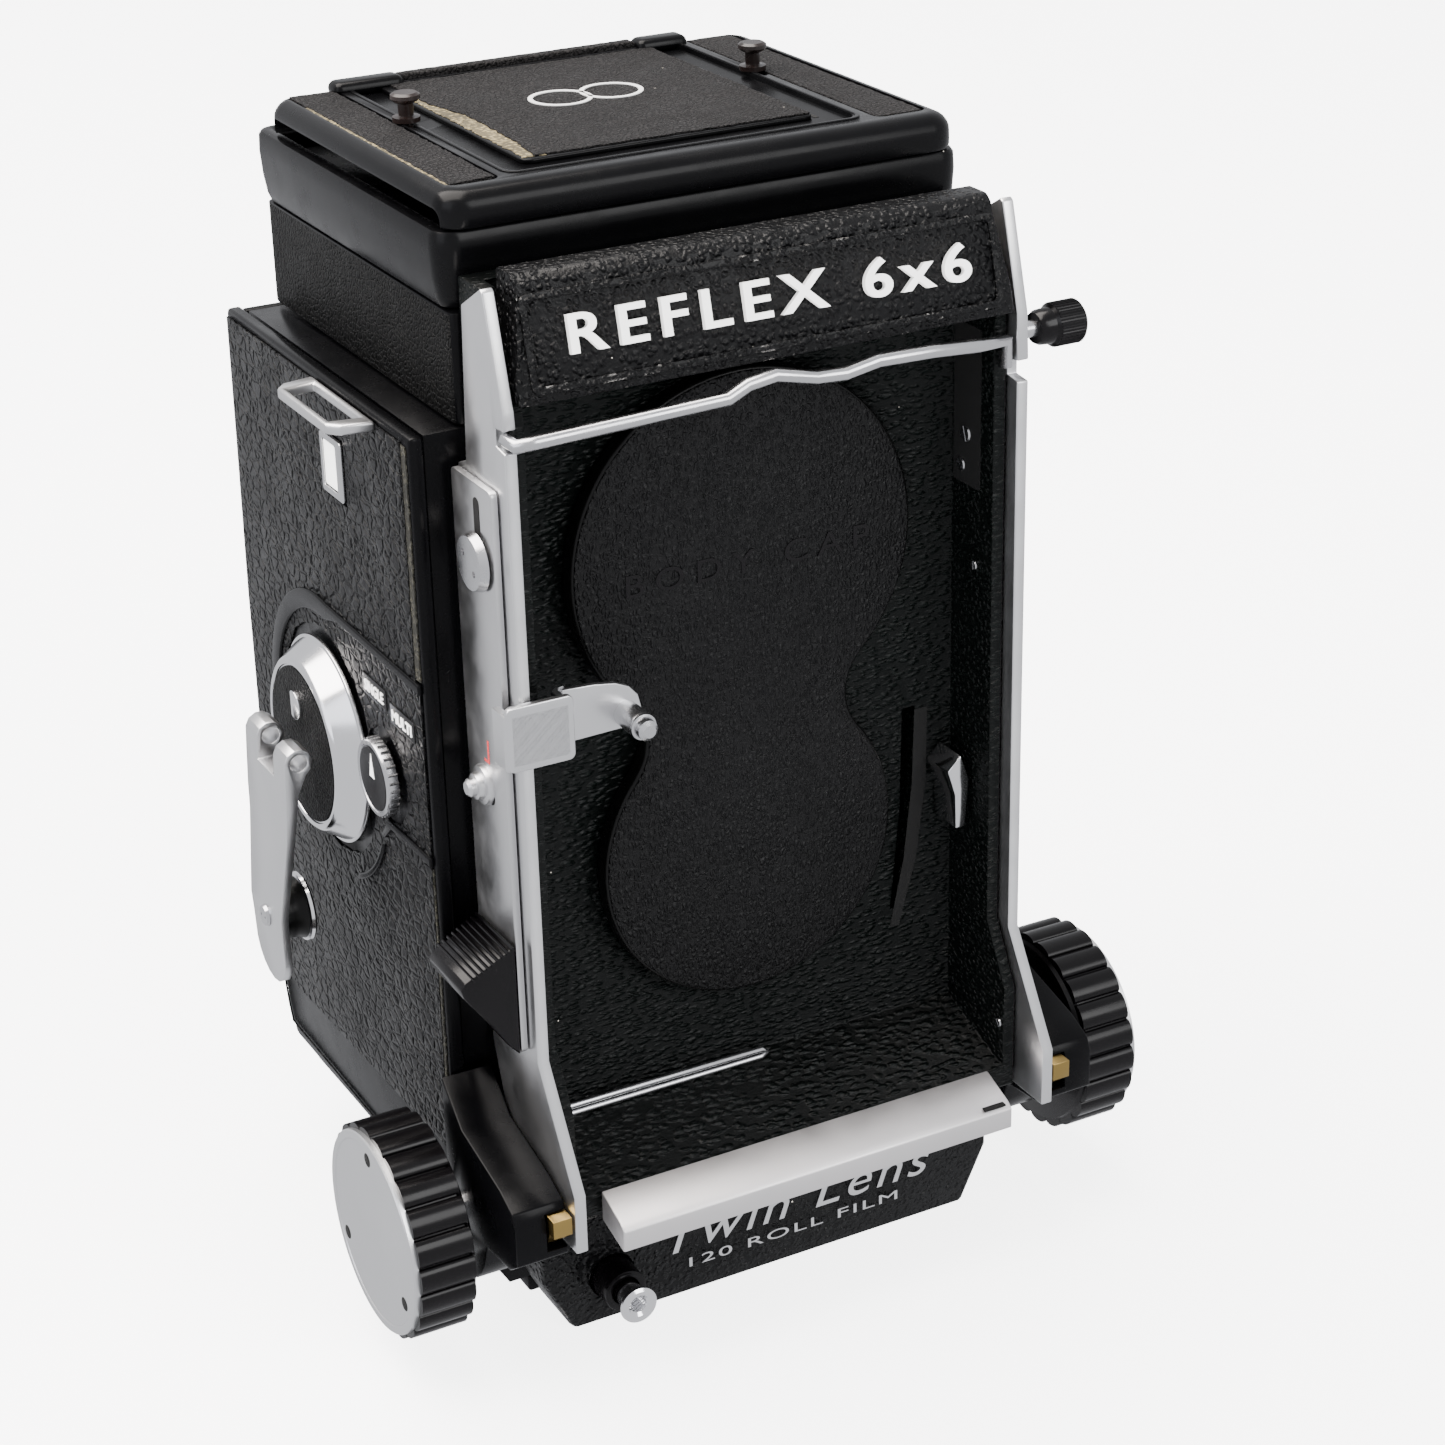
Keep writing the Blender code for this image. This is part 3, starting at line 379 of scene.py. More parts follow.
# Moulded polystyrene: the cap's rim and the crank's handle.
PLASTIC = Finish("moulded_black_plastic", "#040404", 0.3, "black_plastic",
                 grain=Grain.BLASTED, grain_mm=0.4, relief_mm=0.004, rough_span=0.06,
                 specular=0.18)
# Black anodised aluminium, turned: deep black with a faint violet-grey sheen.
ANODISED = Finish("black_anodised_aluminium", "#050405", 0.22, "black_anodised",
                  grain=Grain.BLASTED, grain_mm=0.3, relief_mm=0.003, rough_span=0.05,
                  specular=0.22, dust=0.05)
# Chemically browned brass studs: near black, brown where they are rubbed.
STUD = Finish("browned_stud", "#1c1311", 0.3, "black_anodised", grain=Grain.BLASTED,
              grain_mm=0.3, relief_mm=0.003, rough_span=0.08, mottle=0.4, specular=0.4)
# Bead-blasted and clear anodised aluminium: near white with a very soft sheen.
ALUMINIUM = Finish("satin_anodised_aluminium", "#dcdcdd", 0.33, "satin_aluminium",
                   metallic=1.0, grain=Grain.BLASTED, grain_mm=0.22, relief_mm=0.006,
                   rough_span=0.05, mottle=0.03)
# Milled and frosted aluminium of the ledge: almost matt, evenly pale.
FROSTED = Finish("frosted_aluminium", "#e9e6e6", 0.5, "satin_aluminium", metallic=1.0,
                 grain=Grain.BLASTED, grain_mm=0.25, relief_mm=0.008, rough_span=0.04,
                 mottle=0.03)
# Rolled aluminium sheet, brushed along its length.
BRUSHED = Finish("brushed_aluminium", "#d2d2d3", 0.36, "satin_aluminium", metallic=1.0,
                 grain=Grain.BRUSHED, grain_mm=0.4, relief_mm=0.006,
                 stretch=(1.0, 1.0, 0.06), rough_span=0.08, mottle=0.04)
# Bright chrome plate: mirror reflections with faint wipe marks.
CHROME = Finish("bright_chrome_plate", "#e6e6e8", 0.15, "chrome", metallic=1.0,
                rough_span=0.03, mottle=0.02)
# Satin chrome on small steel parts.
STEEL = Finish("satin_chromed_steel", "#c8c8ca", 0.24, "steel", metallic=1.0,
               grain=Grain.BLASTED, grain_mm=0.3, relief_mm=0.004, rough_span=0.08)
# Machined brass, dulled by air.
BRASS = Finish("machined_brass", "#9c8450", 0.34, "brass", metallic=1.0,
               grain=Grain.BRUSHED, grain_mm=0.3, relief_mm=0.006,
               stretch=(0.1, 1.0, 1.0), rough_span=0.08, mottle=0.15)
# Folded bellows cloth with a rubbery black coat.
CLOTH = Finish("coated_bellows_cloth", "#0a0a0a", 0.75, "black_cloth", grain=Grain.KID,
               grain_mm=0.5, relief_mm=0.05, shade=0.3, rough_span=0.05)
# Ground and clear optical glass.
GLASS = Finish("clear_optical_glass", "#f4f8f7", 0.03, "clear_glass", transmission=1.0,
               ior=1.52)
GROUND_GLASS = Finish("ground_glass", "#d8dcda", 0.5, "clear_glass", transmission=0.7,
                      ior=1.52, grain=Grain.BLASTED, grain_mm=0.15, relief_mm=0.01)
# Front-silvered mirror.
SILVERED = Finish("front_silvered_mirror", "#eeeef0", 0.02, "mirror_glass", metallic=1.0)
# Filled letter paint: flat white with a slight gloss.
WHITE_PAINT = Finish("white_letter_paint", "#f2f2f0", 0.4, mottle=0.03)
RED_PAINT = Finish("red_mark_paint", "#b32a2c", 0.45)
# Old contact cement: brittle yellow-olive crumbs left where leatherette has gone.
CEMENT = Finish("old_contact_cement", "#9a8c66", 0.85, grain=Grain.WRINKLE, grain_mm=0.8,
                relief_mm=0.3, shade=0.85, mottle=0.4)
# The same cement where dirt has filled it along the body's edges.
DIRTY_CEMENT = Finish("dirty_contact_cement", "#2e2c20", 0.8, grain=Grain.WRINKLE,
                      grain_mm=0.8, relief_mm=0.3, shade=0.8, mottle=0.5, dust=0.6)
# Painted shade: flat black laid where a gap, slot, groove, hole or recess is in shadow.
GAP_SHADE = Finish("painted_gap_shade", "#050505", 0.95, grain=Grain.BLASTED, grain_mm=0.2,
              relief_mm=0.04)


# ---------------------------------------------------------------------------- shaping
def link(name: str, mesh: bpy.types.Mesh) -> bpy.types.Object:
    """A mesh as an object of the scene, at the origin."""
    made = bpy.data.objects.new(name, mesh)
    bpy.context.scene.collection.objects.link(made)
    return made


def settle(obj: bpy.types.Object) -> bpy.types.Object:
    """Turns an object and its modifiers into a plain mesh object of the same name.

    Args:
        obj: A mesh, curve or text object.

    Returns:
        The plain mesh object, with its place in its mesh.
    """
    bpy.context.view_layer.update()
    graph = bpy.context.evaluated_depsgraph_get()
    mesh = bpy.data.meshes.new_from_object(obj.evaluated_get(graph))
    mesh.transform(obj.matrix_world)
    name = obj.name
    bpy.data.objects.remove(obj, do_unlink=True)
    made = link(name, mesh)
    made.name = name
    return made


def tidy(obj: bpy.types.Object, merge_mm: float = 0.002, outward: bool = True) -> None:
    """Merges doubled points and turns the faces outwards.

    Args:
        obj: The mesh object.
        merge_mm: Points this near become one.
        outward: Whether to recalculate the normals.
    """
    build = bmesh.new()
    build.from_mesh(obj.data)
    bmesh.ops.remove_doubles(build, verts=build.verts, dist=merge_mm * MM)
    if outward:
        bmesh.ops.recalc_face_normals(build, faces=build.faces)
    build.to_mesh(obj.data)
    build.free()


def shade(obj: bpy.types.Object, angle: float = 32.0) -> bpy.types.Object:
    """Smooths the faces, keeping edges sharper than the angle in degrees."""
    obj.data.shade_smooth()
    obj.data.set_sharp_from_angle(angle=math.radians(angle))
    return obj


def soften(obj: bpy.types.Object, width: float, segments: int = 2, angle: float = 32.0
           ) -> bpy.types.Object:
    """Rounds an object's sharp edges.

    Args:
        obj: The mesh object.
        width: The rounding's width in millimetres.
        segments: Faces across it.
        angle: Edges sharper than this, in degrees, are rounded.

    Returns:
        A plain mesh object with the rounded edges.
    """
    edge = obj.modifiers.new("edge", "BEVEL")
    edge.width = width * MM
    edge.segments = segments
    edge.limit_method = "ANGLE"
    edge.angle_limit = math.radians(angle)
    edge.harden_normals = False
    return shade(settle(obj), angle)


def cut(obj: bpy.types.Object, *cutters: bpy.types.Object, join: bool = False
        ) -> bpy.types.Object:
    """Cuts shapes out of an object, or joins them to it.

    Args:
        obj: The mesh object.
        *cutters: Closed shapes, used up here.
        join: Whether to join instead of cut.

    Returns:
        The plain result.
    """
    for cutter in cutters:
        step = obj.modifiers.new("cut", "BOOLEAN")
        step.operation = "UNION" if join else "DIFFERENCE"
        step.solver = "EXACT"
        step.object = cutter
    made = settle(obj)
    for cutter in cutters:
        bpy.data.objects.remove(cutter, do_unlink=True)
    return made


PLANES = {
    "X": Matrix(((0, 0, 1, 0), (1, 0, 0, 0), (0, 1, 0, 0), (0, 0, 0, 1))),
    "Y": Matrix(((1, 0, 0, 0), (0, 0, -1, 0), (0, 1, 0, 0), (0, 0, 0, 1))),
    "Z": Matrix.Identity(4),
}


def slab(name: str, outline: Iterable[Pair], axis: str, start: float, stop: float,
         edge: float = 0.0, holes: Sequence[Iterable[Pair]] = ()) -> bpy.types.Object:
    """A flat outline given thickness, with rounded rims.

    Args:
        name: The object's name.
        outline: Points in the plane across the axis.
        axis: X, Y or Z, the direction of the thickness.
        start: One face's place on the axis.
        stop: The other face's place on the axis.
        edge: How wide the rims are rounded.
        holes: Outlines of openings.

    Returns:
        The mesh object.
    """
    curve = bpy.data.curves.new(name, "CURVE")
    curve.dimensions = "2D"
    curve.fill_mode = "BOTH"
    curve.extrude = (abs(stop - start) / 2 - edge) * MM
    curve.bevel_depth = edge * MM
    curve.bevel_resolution = 2
    curve.offset = -edge * MM
    for loop in (list(outline), *(list(hole) for hole in holes)):
        spline = curve.splines.new("POLY")
        spline.points.add(len(loop) - 1)
        spline.use_cyclic_u = True
        for point, (u, v) in zip(spline.points, loop):
            point.co = (u * MM, v * MM, 0.0, 1.0)
    made = settle(link(name, curve))
    middle = {"X": 0, "Y": 1, "Z": 2}[axis]
    shift = [0.0, 0.0, 0.0]
    shift[middle] = (start + stop) / 2
    made.data.transform(Matrix.Translation(at(shift)) @ PLANES[axis])
    tidy(made)
    return shade(made)


def block(name: str, low: Triple, high: Triple, edge: float = 0.0, segments: int = 3
          ) -> bpy.types.Object:
    """A bar between two corners with rounded edges."""
    build = bmesh.new()
    bmesh.ops.create_cube(build, size=1.0)
    size = (at(high) - at(low))
    bmesh.ops.scale(build, vec=size, verts=build.verts)
    bmesh.ops.translate(build, vec=(at(high) + at(low)) / 2, verts=build.verts)
    mesh = bpy.data.meshes.new(name)
    build.to_mesh(mesh)
    build.free()
    made = link(name, mesh)
    return soften(made, edge, segments) if edge else made


def aim(axis: Sequence[float]) -> Matrix:
    """A turn that takes +Z onto the given direction."""
    return Vector(axis).to_track_quat("Z", "Y").to_matrix().to_4x4()


def lathe(name: str, profile: Sequence[Pair], axis: Sequence[float], centre: Triple,
          steps: int = 48, angle: float = 30.0,
          swell: Callable[[float, float], float] | None = None) -> bpy.types.Object:
    """A profile turned about an axis.

    Args:
        name: The object's name.
        profile: Radius and height pairs; closed into a ring if neither end is at 0.
        axis: The direction in which height grows.
        centre: Where height 0 lies on the axis.
        steps: Faces round it.
        angle: Edges sharper than this stay sharp, in degrees.
        swell: A share of the radius for an angle and a height, for flutes.

    Returns:
        The mesh object.
    """
    build = bmesh.new()
    rings = []
    for radius, height in profile:
        if radius <= 0:
            rings.append([build.verts.new((0, 0, height * MM))])
            continue
        ring = []
        for step in range(steps):
            turn = 2 * math.pi * step / steps
            reach = radius * MM * (swell(turn, height) if swell else 1.0)
            ring.append(build.verts.new((reach * math.cos(turn), reach * math.sin(turn),
                                         height * MM)))
        rings.append(ring)
    pairs = list(zip(rings, rings[1:]))
    if len(rings[0]) > 1 and len(rings[-1]) > 1:
        pairs.append((rings[-1], rings[0]))
    for low, high in pairs:
        for step in range(steps):
            corners = (low[step % len(low)], low[(step + 1) % steps % len(low)],
                       high[(step + 1) % steps % len(high)], high[step % len(high)])
            corners = tuple(dict.fromkeys(corners))
            if len(corners) > 2:
                build.faces.new(corners)
    bmesh.ops.recalc_face_normals(build, faces=build.faces)
    mesh = bpy.data.meshes.new(name)
    build.to_mesh(mesh)
    build.free()
    mesh.transform(Matrix.Translation(at(centre)) @ aim(axis))
    return shade(link(name, mesh), angle)


def tube(name: str, points: Sequence[Sequence[float]], radius: float,
         cyclic: bool = False, flow: bool = False) -> bpy.types.Object:
    """A round wire through points of the drawing.

    Args:
        name: The object's name.
        points: The wire's centre line.
        radius: The wire's radius.
        cyclic: Whether it closes on itself.
        flow: Whether it runs in a smooth line through the points.

    Returns:
        The mesh object.
    """
    curve = bpy.data.curves.new(name, "CURVE")
    curve.dimensions = "3D"
    curve.bevel_depth = radius * MM
    curve.bevel_resolution = 3
    curve.use_fill_caps = not cyclic
    path = [at(point) for point in points]
    if flow:
        path = flowing(path)
    spline = curve.splines.new("POLY")
    spline.points.add(len(path) - 1)
    spline.use_cyclic_u = cyclic
    for point, place in zip(spline.points, path):
        point.co = (*place, 1.0)
    made = settle(link(name, curve))
    tidy(made)
    return shade(made, 60)


def flowing(path: Sequence[Vector], between: int = 6) -> list[Vector]:
    """A smooth line through points, with steps added between them."""
    ends = [path[0] * 2 - path[1], *path, path[-1] * 2 - path[-2]]
    made = []
    for a, b, c, d in zip(ends, ends[1:], ends[2:], ends[3:]):
        for step in range(between):
            t = step / between
            made.append(0.5 * (2 * b + (c - a) * t + (2 * a - 5 * b + 4 * c - d) * t * t
                               + (3 * b - a - 3 * c + d) * t ** 3))
    return made + [path[-1]]


def arc(centre: Pair, radius: float, start: float, stop: float, count: int) -> list[Pair]:
    """Points on an arc, angles in degrees."""
    turns = [math.radians(start + (stop - start) * i / (count - 1)) for i in range(count)]
    return [(centre[0] + radius * math.cos(t), centre[1] + radius * math.sin(t))
            for t in turns]


def rounded(low: Pair, high: Pair, radius: float, count: int = 6) -> list[Pair]:
    """A rectangle's outline with round corners."""
    corners = [((high[0] - radius, high[1] - radius), 0),
               ((low[0] + radius, high[1] - radius), 90),
               ((low[0] + radius, low[1] + radius), 180),
               ((high[0] - radius, low[1] + radius), 270)]
    return [point for middle, first in corners
            for point in arc(middle, radius, first, first + 90, count)]


def ragged(points: Sequence[Pair], bite: float, step: float, seed: int) -> list[Pair]:
    """An outline with torn, uneven edges.

    Args:
        points: The clean outline.
        bite: How far the edge wanders, in millimetres.
        step: The distance between points along it.
        seed: Fixes the wandering.

    Returns:
        The torn outline.
    """
    draw = random.Random(seed)
    made = []
    for (x0, y0), (x1, y1) in zip(points, [*points[1:], points[0]]):
        count = max(1, round(math.hypot(x1 - x0, y1 - y0) / step))
        for i in range(count):
            t = i / count
            made.append((x0 + (x1 - x0) * t + draw.uniform(-bite, bite),
                         y0 + (y1 - y0) * t + draw.uniform(-bite, bite)))
    return made


def loft(name: str, rings: Sequence[tuple[Sequence[Pair], float]]) -> bpy.types.Object:
    """Level outlines of equal count skinned from one to the next, closed into a ring.

    Args:
        name: The object's name.
        rings: Outline and height pairs, in order round the wall's section.

    Returns:
        The mesh object.
    """
    build = bmesh.new()
    made = [[build.verts.new(at((x, y, z))) for x, y in outline] for outline, z in rings]
    for low, high in zip(made, [*made[1:], made[0]]):
        for i in range(len(low)):
            j = (i + 1) % len(low)
            build.faces.new((low[i], low[j], high[j], high[i]))
    bmesh.ops.recalc_face_normals(build, faces=build.faces)
    mesh = bpy.data.meshes.new(name)
    build.to_mesh(mesh)
    build.free()
    return shade(link(name, mesh))


def lettering(name: str, words: str, height: float, width: float, thick: float,
              place: Matrix, bold: float = 0.0, slant: float = 0.0, gap: float = 1.0
              ) -> bpy.types.Object:
    """Raised letters fitted to a width.

    Args:
        name: The object's name.
        words: What the letters say.
        height: The capitals' height in millimetres.
        width: The line's length in millimetres.
        thick: How far the letters stand up.
        place: Takes the line's middle, lying in X and Y, to its place.
        bold: How much the strokes are fattened, in millimetres.
        slant: The letters' lean.
        gap: The spacing between letters, 1 being the usual.

    Returns:
        The mesh object.
    """
    text = bpy.data.curves.new(name, "FONT")
    text.body = words
    text.size = 1.0
    text.shear = slant
    text.space_character = gap
    text.align_x = "CENTER"
    text.offset = 0.0
    raw = settle(link(name, text))
    low = [min(v.co[i] for v in raw.data.vertices) for i in (0, 1)]
    high = [max(v.co[i] for v in raw.data.vertices) for i in (0, 1)]
    bpy.data.objects.remove(raw, do_unlink=True)
    text = text.copy()
    stretch_x = width * MM / (high[0] - low[0])
    stretch_y = height * MM / (high[1] - low[1])
    text.offset = bold * MM / stretch_y
    text.extrude = 0.5
    text.resolution_u = 6
    made = settle(link(name, text))
    made.data.transform(Matrix.Translation((-(low[0] + high[0]) / 2,
                                            -(low[1] + high[1]) / 2, 0.0)))
    made.data.transform(Matrix.Diagonal((stretch_x, stretch_y, thick * MM, 1.0)))
    made.data.transform(place)
    tidy(made, 0.0005)
    return shade(made, 25)


def place_on(centre: Triple, right: Triple, up: Triple) -> Matrix:
    """A turn and a move that lay X along right and Y along up, at a point."""
    across, along = Vector(right).normalized(), Vector(up).normalized()
    out = across.cross(along)
    turn = Matrix((across, along, out)).transposed().to_4x4()
    return Matrix.Translation(at(centre)) @ turn


def dress(obj: bpy.types.Object, body: str, finish: Finish, *nodes: str
          ) -> bpy.types.Object:
    """Gives a piece its finish and the body that it moves with.

    Args:
        obj: The finished mesh object.
        body: The frame's body.
        finish: The surface.
        *nodes: The frame's nodes that the piece stands for.

    Returns:
        The piece.
    """
    obj.data.materials.clear()
    obj.data.materials.append(finish.material())
    if nodes:
        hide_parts(*nodes)
    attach(obj, body)
    LOG.info("%s rides on %s in %s", obj.name, body, finish.name)
    return obj


def paint(obj: bpy.types.Object, finish: Finish, rule: Rule) -> bpy.types.Object:
    """Gives some faces of a piece a second finish.

    Args:
        obj: The dressed piece.
        finish: The second surface.
        rule: Says yes to a face by its middle on the drawing and its direction.

    Returns:
        The piece.
    """
    obj.data.materials.append(finish.material())
    index = len(obj.data.materials) - 1
    for face in obj.data.polygons:
        if rule(on_drawing(face.center), face.normal):
            face.material_index = index
    return obj


def refined(node: str, name: str, edge: float = 0.15, angle: float = 32.0
            ) -> bpy.types.Object:
    """A frame node's shape with its corners eased and its curves smooth.

    Args:
        node: The frame's node.
        name: The new object's name.
        edge: The eased corners' width in millimetres.
        angle: Edges sharper than this are eased, in degrees.

    Returns:
        The mesh object.
    """
    made = link(name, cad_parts[node].data.copy())
    build = bmesh.new()
    build.from_mesh(made.data)
    bmesh.ops.remove_doubles(build, verts=build.verts, dist=0.004 * MM)
    bmesh.ops.dissolve_limit(build, angle_limit=math.radians(0.6), verts=build.verts,
                             edges=build.edges)
    build.to_mesh(made.data)
    build.free()
    return soften(made, edge, 2, angle) if edge else shade(made, angle)


# ---------------------------------------------------------------------------- rules
class GeometryRule:
    """A Geometry Nodes tree that makes what repeats."""

    def __init__(self, name: str) -> None:
        """Starts the tree with its geometry output and its finish input."""
        self.tree = bpy.data.node_groups.new(name, "GeometryNodeTree")
        self.tree.interface.new_socket("Geometry", in_out="OUTPUT",
                                       socket_type="NodeSocketGeometry")
        self.source = self.tree.nodes.new("NodeGroupInput")
        self.input("Geometry", "Geometry")
        self.finish = self.input("Finish", "Material")

    def input(self, name: str, kind: str = "Float") -> bpy.types.NodeSocket:
        """Adds a named input and returns the socket that gives its value."""
        self.tree.interface.new_socket(name, in_out="INPUT",
                                       socket_type=f"NodeSocket{kind}")
        return self.source.outputs[name]

    def node(self, kind: str, inputs: dict | None = None, **settings: object
             ) -> bpy.types.Node:
        """Adds a node to the tree."""
        return add_node(self.tree, kind, inputs, **settings)

    def end(self, shape: bpy.types.NodeSocket) -> None:
        """Ends the tree with real geometry in the given finish."""
        real = self.node("GeometryNodeRealizeInstances", {"Geometry": shape})
        coated = self.node("GeometryNodeSetMaterial", {
            "Geometry": real.outputs["Geometry"], "Material": self.finish})
        self.node("NodeGroupOutput", {"Geometry": coated.outputs["Geometry"]})

    def run(self, name: str, finish: Finish, source: bpy.types.Mesh | None = None,
            angle: float = 35.0, **values: float) -> bpy.types.Object:
        """Runs the tree and keeps what it makes.

        Args:
            name: The new object's name.
            finish: The surface.
            source: The mesh that the tree starts from, if it needs one.
            angle: Edges sharper than this stay sharp, in degrees.
            **values: The tree's inputs, by name with underscores for spaces.

        Returns:
            The plain mesh object.
        """
        host = link(name, source or bpy.data.meshes.new(name))
        step = host.modifiers.new("rule", "NODES")
        step.node_group = self.tree
        wanted = {key.replace("_", " "): value for key, value in values.items()}
        wanted["Finish"] = finish.material()
        for item in self.tree.interface.items_tree:
            if item.in_out == "INPUT" and item.name in wanted:
                step[item.identifier] = wanted[item.name]
        return shade(settle(host), angle)


class RibRing(GeometryRule):
    """Equal ribs that stand round a circle, as on a knurled or scalloped knob."""

    def __init__(self) -> None:
        """Builds the tree, with its sizes in metres."""
        super().__init__("rib_ring")
        count, ring = self.input("Count", "Int"), self.input("Ring")
        width, height = self.input("Width"), self.input("Height")
        length, sides = self.input("Length"), self.input("Sides", "Int")
        circle = self.node("GeometryNodeMeshCircle", {"Vertices": count, "Radius": ring})
        rib = self.node("GeometryNodeMeshCylinder", {
            "Vertices": sides, "Radius": 0.5, "Depth": length})
        size = self.node("ShaderNodeCombineXYZ", {"X": height, "Y": width, "Z": 1.0})
        shaped = self.node("GeometryNodeTransform", {
            "Geometry": rib.outputs["Mesh"], "Scale": size.outputs["Vector"]})
        index = self.node("GeometryNodeInputIndex")
        share = self.node("ShaderNodeMath", {0: index.outputs[0], 1: 2 * math.pi},
                          operation="MULTIPLY")
        turn = self.node("ShaderNodeMath", {0: share.outputs[0], 1: count},
                         operation="DIVIDE")
        spin = self.node("ShaderNodeCombineXYZ", {"Z": turn.outputs[0]})
        facing = self.node("FunctionNodeEulerToRotation", {"Euler": spin.outputs[0]})
        placed = self.node("GeometryNodeInstanceOnPoints", {
            "Points": circle.outputs["Mesh"], "Instance": shaped.outputs["Geometry"],
            "Rotation": facing.outputs["Rotation"]})
        self.end(placed.outputs["Instances"])

    def around(self, name: str, finish: Finish, axis: Sequence[float], centre: Triple,
               count: int, ring: float, width: float, height: float, length: float,
               sides: int = 10) -> bpy.types.Object:
        """Makes a ring of ribs round an axis, with its sizes in millimetres.

        Args:
            name: The new object's name.
            finish: The surface.
            axis: The direction that the ribs lie along.
            centre: The middle of the ring.
            count: How many ribs.
            ring: The circle's radius.
            width: A rib's width along the circle.
            height: A rib's thickness across the circle.
            length: A rib's length.
            sides: Faces round one rib.

        Returns:
            The mesh object.
        """
        made = self.run(name, finish, Count=count, Ring=ring * MM, Width=width * MM,
                        Height=height * MM, Length=length * MM, Sides=sides)
        made.data.transform(Matrix.Translation(at(centre)) @ aim(axis))
        return made


class Drive(Enum):
    """How a screw's head is turned."""

    SLOT = "slot"
    SPANNER = "spanner"


class ScrewHeads(GeometryRule):
    """Screw heads set on points, each facing its own way."""

    def __init__(self, drive: Drive) -> None:
        """Builds the tree for heads one unit across, turned by the given drive."""
        super().__init__(f"screw_heads_{drive.value}")
        points = self.source.outputs["Geometry"]
        head = self.node("GeometryNodeMeshCone", {
            "Vertices": 48, "Radius Top": 0.45, "Radius Bottom": 0.5, "Depth": 0.14})
        if drive is Drive.SLOT:
            tool = self.node("GeometryNodeMeshCube", {"Size": (1.4, 0.13, 0.24)})
            cutter = self.node("GeometryNodeTransform", {
                "Geometry": tool.outputs["Mesh"], "Translation": (0.0, 0.0, 0.2)})
            removed = cutter.outputs["Geometry"]
        else:
            pin = self.node("GeometryNodeMeshCylinder", {
                "Vertices": 12, "Radius": 0.055, "Depth": 0.24})
            row = self.node("GeometryNodeMeshLine", {
                "Count": 2, "Start Location": (-0.23, 0.0, 0.2), "Offset": (0.46, 0.0, 0.0)})
            holes = self.node("GeometryNodeInstanceOnPoints", {
                "Points": row.outputs["Mesh"], "Instance": pin.outputs["Mesh"]})
            real = self.node("GeometryNodeRealizeInstances", {
                "Geometry": holes.outputs["Instances"]})
            removed = real.outputs["Geometry"]
        driven = self.node("GeometryNodeMeshBoolean", {
            "Mesh 1": head.outputs["Mesh"], "Mesh 2": removed}, operation="DIFFERENCE")
        facing = self.node("GeometryNodeInputNamedAttribute", {"Name": "facing"},
                           data_type="FLOAT_VECTOR")
        size = self.node("GeometryNodeInputNamedAttribute", {"Name": "size"})
        spin = self.node("GeometryNodeInputNamedAttribute", {"Name": "spin"})
        around = self.node("ShaderNodeCombineXYZ", {"Z": spin.outputs["Attribute"]})
        first = self.node("FunctionNodeEulerToRotation", {"Euler": around.outputs[0]})
        outward = self.node("FunctionNodeAlignRotationToVector", {
            "Vector": facing.outputs["Attribute"]}, axis="Z")
        turned = self.node("FunctionNodeRotateRotation", {
            "Rotation": outward.outputs["Rotation"],
            "Rotate By": first.outputs["Rotation"]}, rotation_space="LOCAL")
        placed = self.node("GeometryNodeInstanceOnPoints", {
            "Points": points, "Instance": driven.outputs["Mesh"],
            "Rotation": turned.outputs["Rotation"], "Scale": size.outputs["Attribute"]})
        self.end(placed.outputs["Instances"])

    def set_in(self, name: str, finish: Finish,
               screws: Sequence[tuple[Triple, Triple, float, float]]) -> bpy.types.Object:
        """Sets screws in place.

        Args:
            name: The new object's name.
            finish: The surface.
            screws: For each, its point, its direction, its head's width and its spin in
                degrees.

        Returns:
            The mesh object.
        """
        mesh = bpy.data.meshes.new(name)
        mesh.from_pydata([at(point) for point, _, _, _ in screws], [], [])
        for label, kind, key, values in (
                ("facing", "FLOAT_VECTOR", "vector", [c for _, d, _, _ in screws for c in d]),
                ("size", "FLOAT", "value", [width * MM for _, _, width, _ in screws]),
                ("spin", "FLOAT", "value", [math.radians(t) for _, _, _, t in screws])):
            mesh.attributes.new(label, kind, "POINT")
            mesh.attributes[label].data.foreach_set(key, values)
        return self.run(name, finish, mesh)


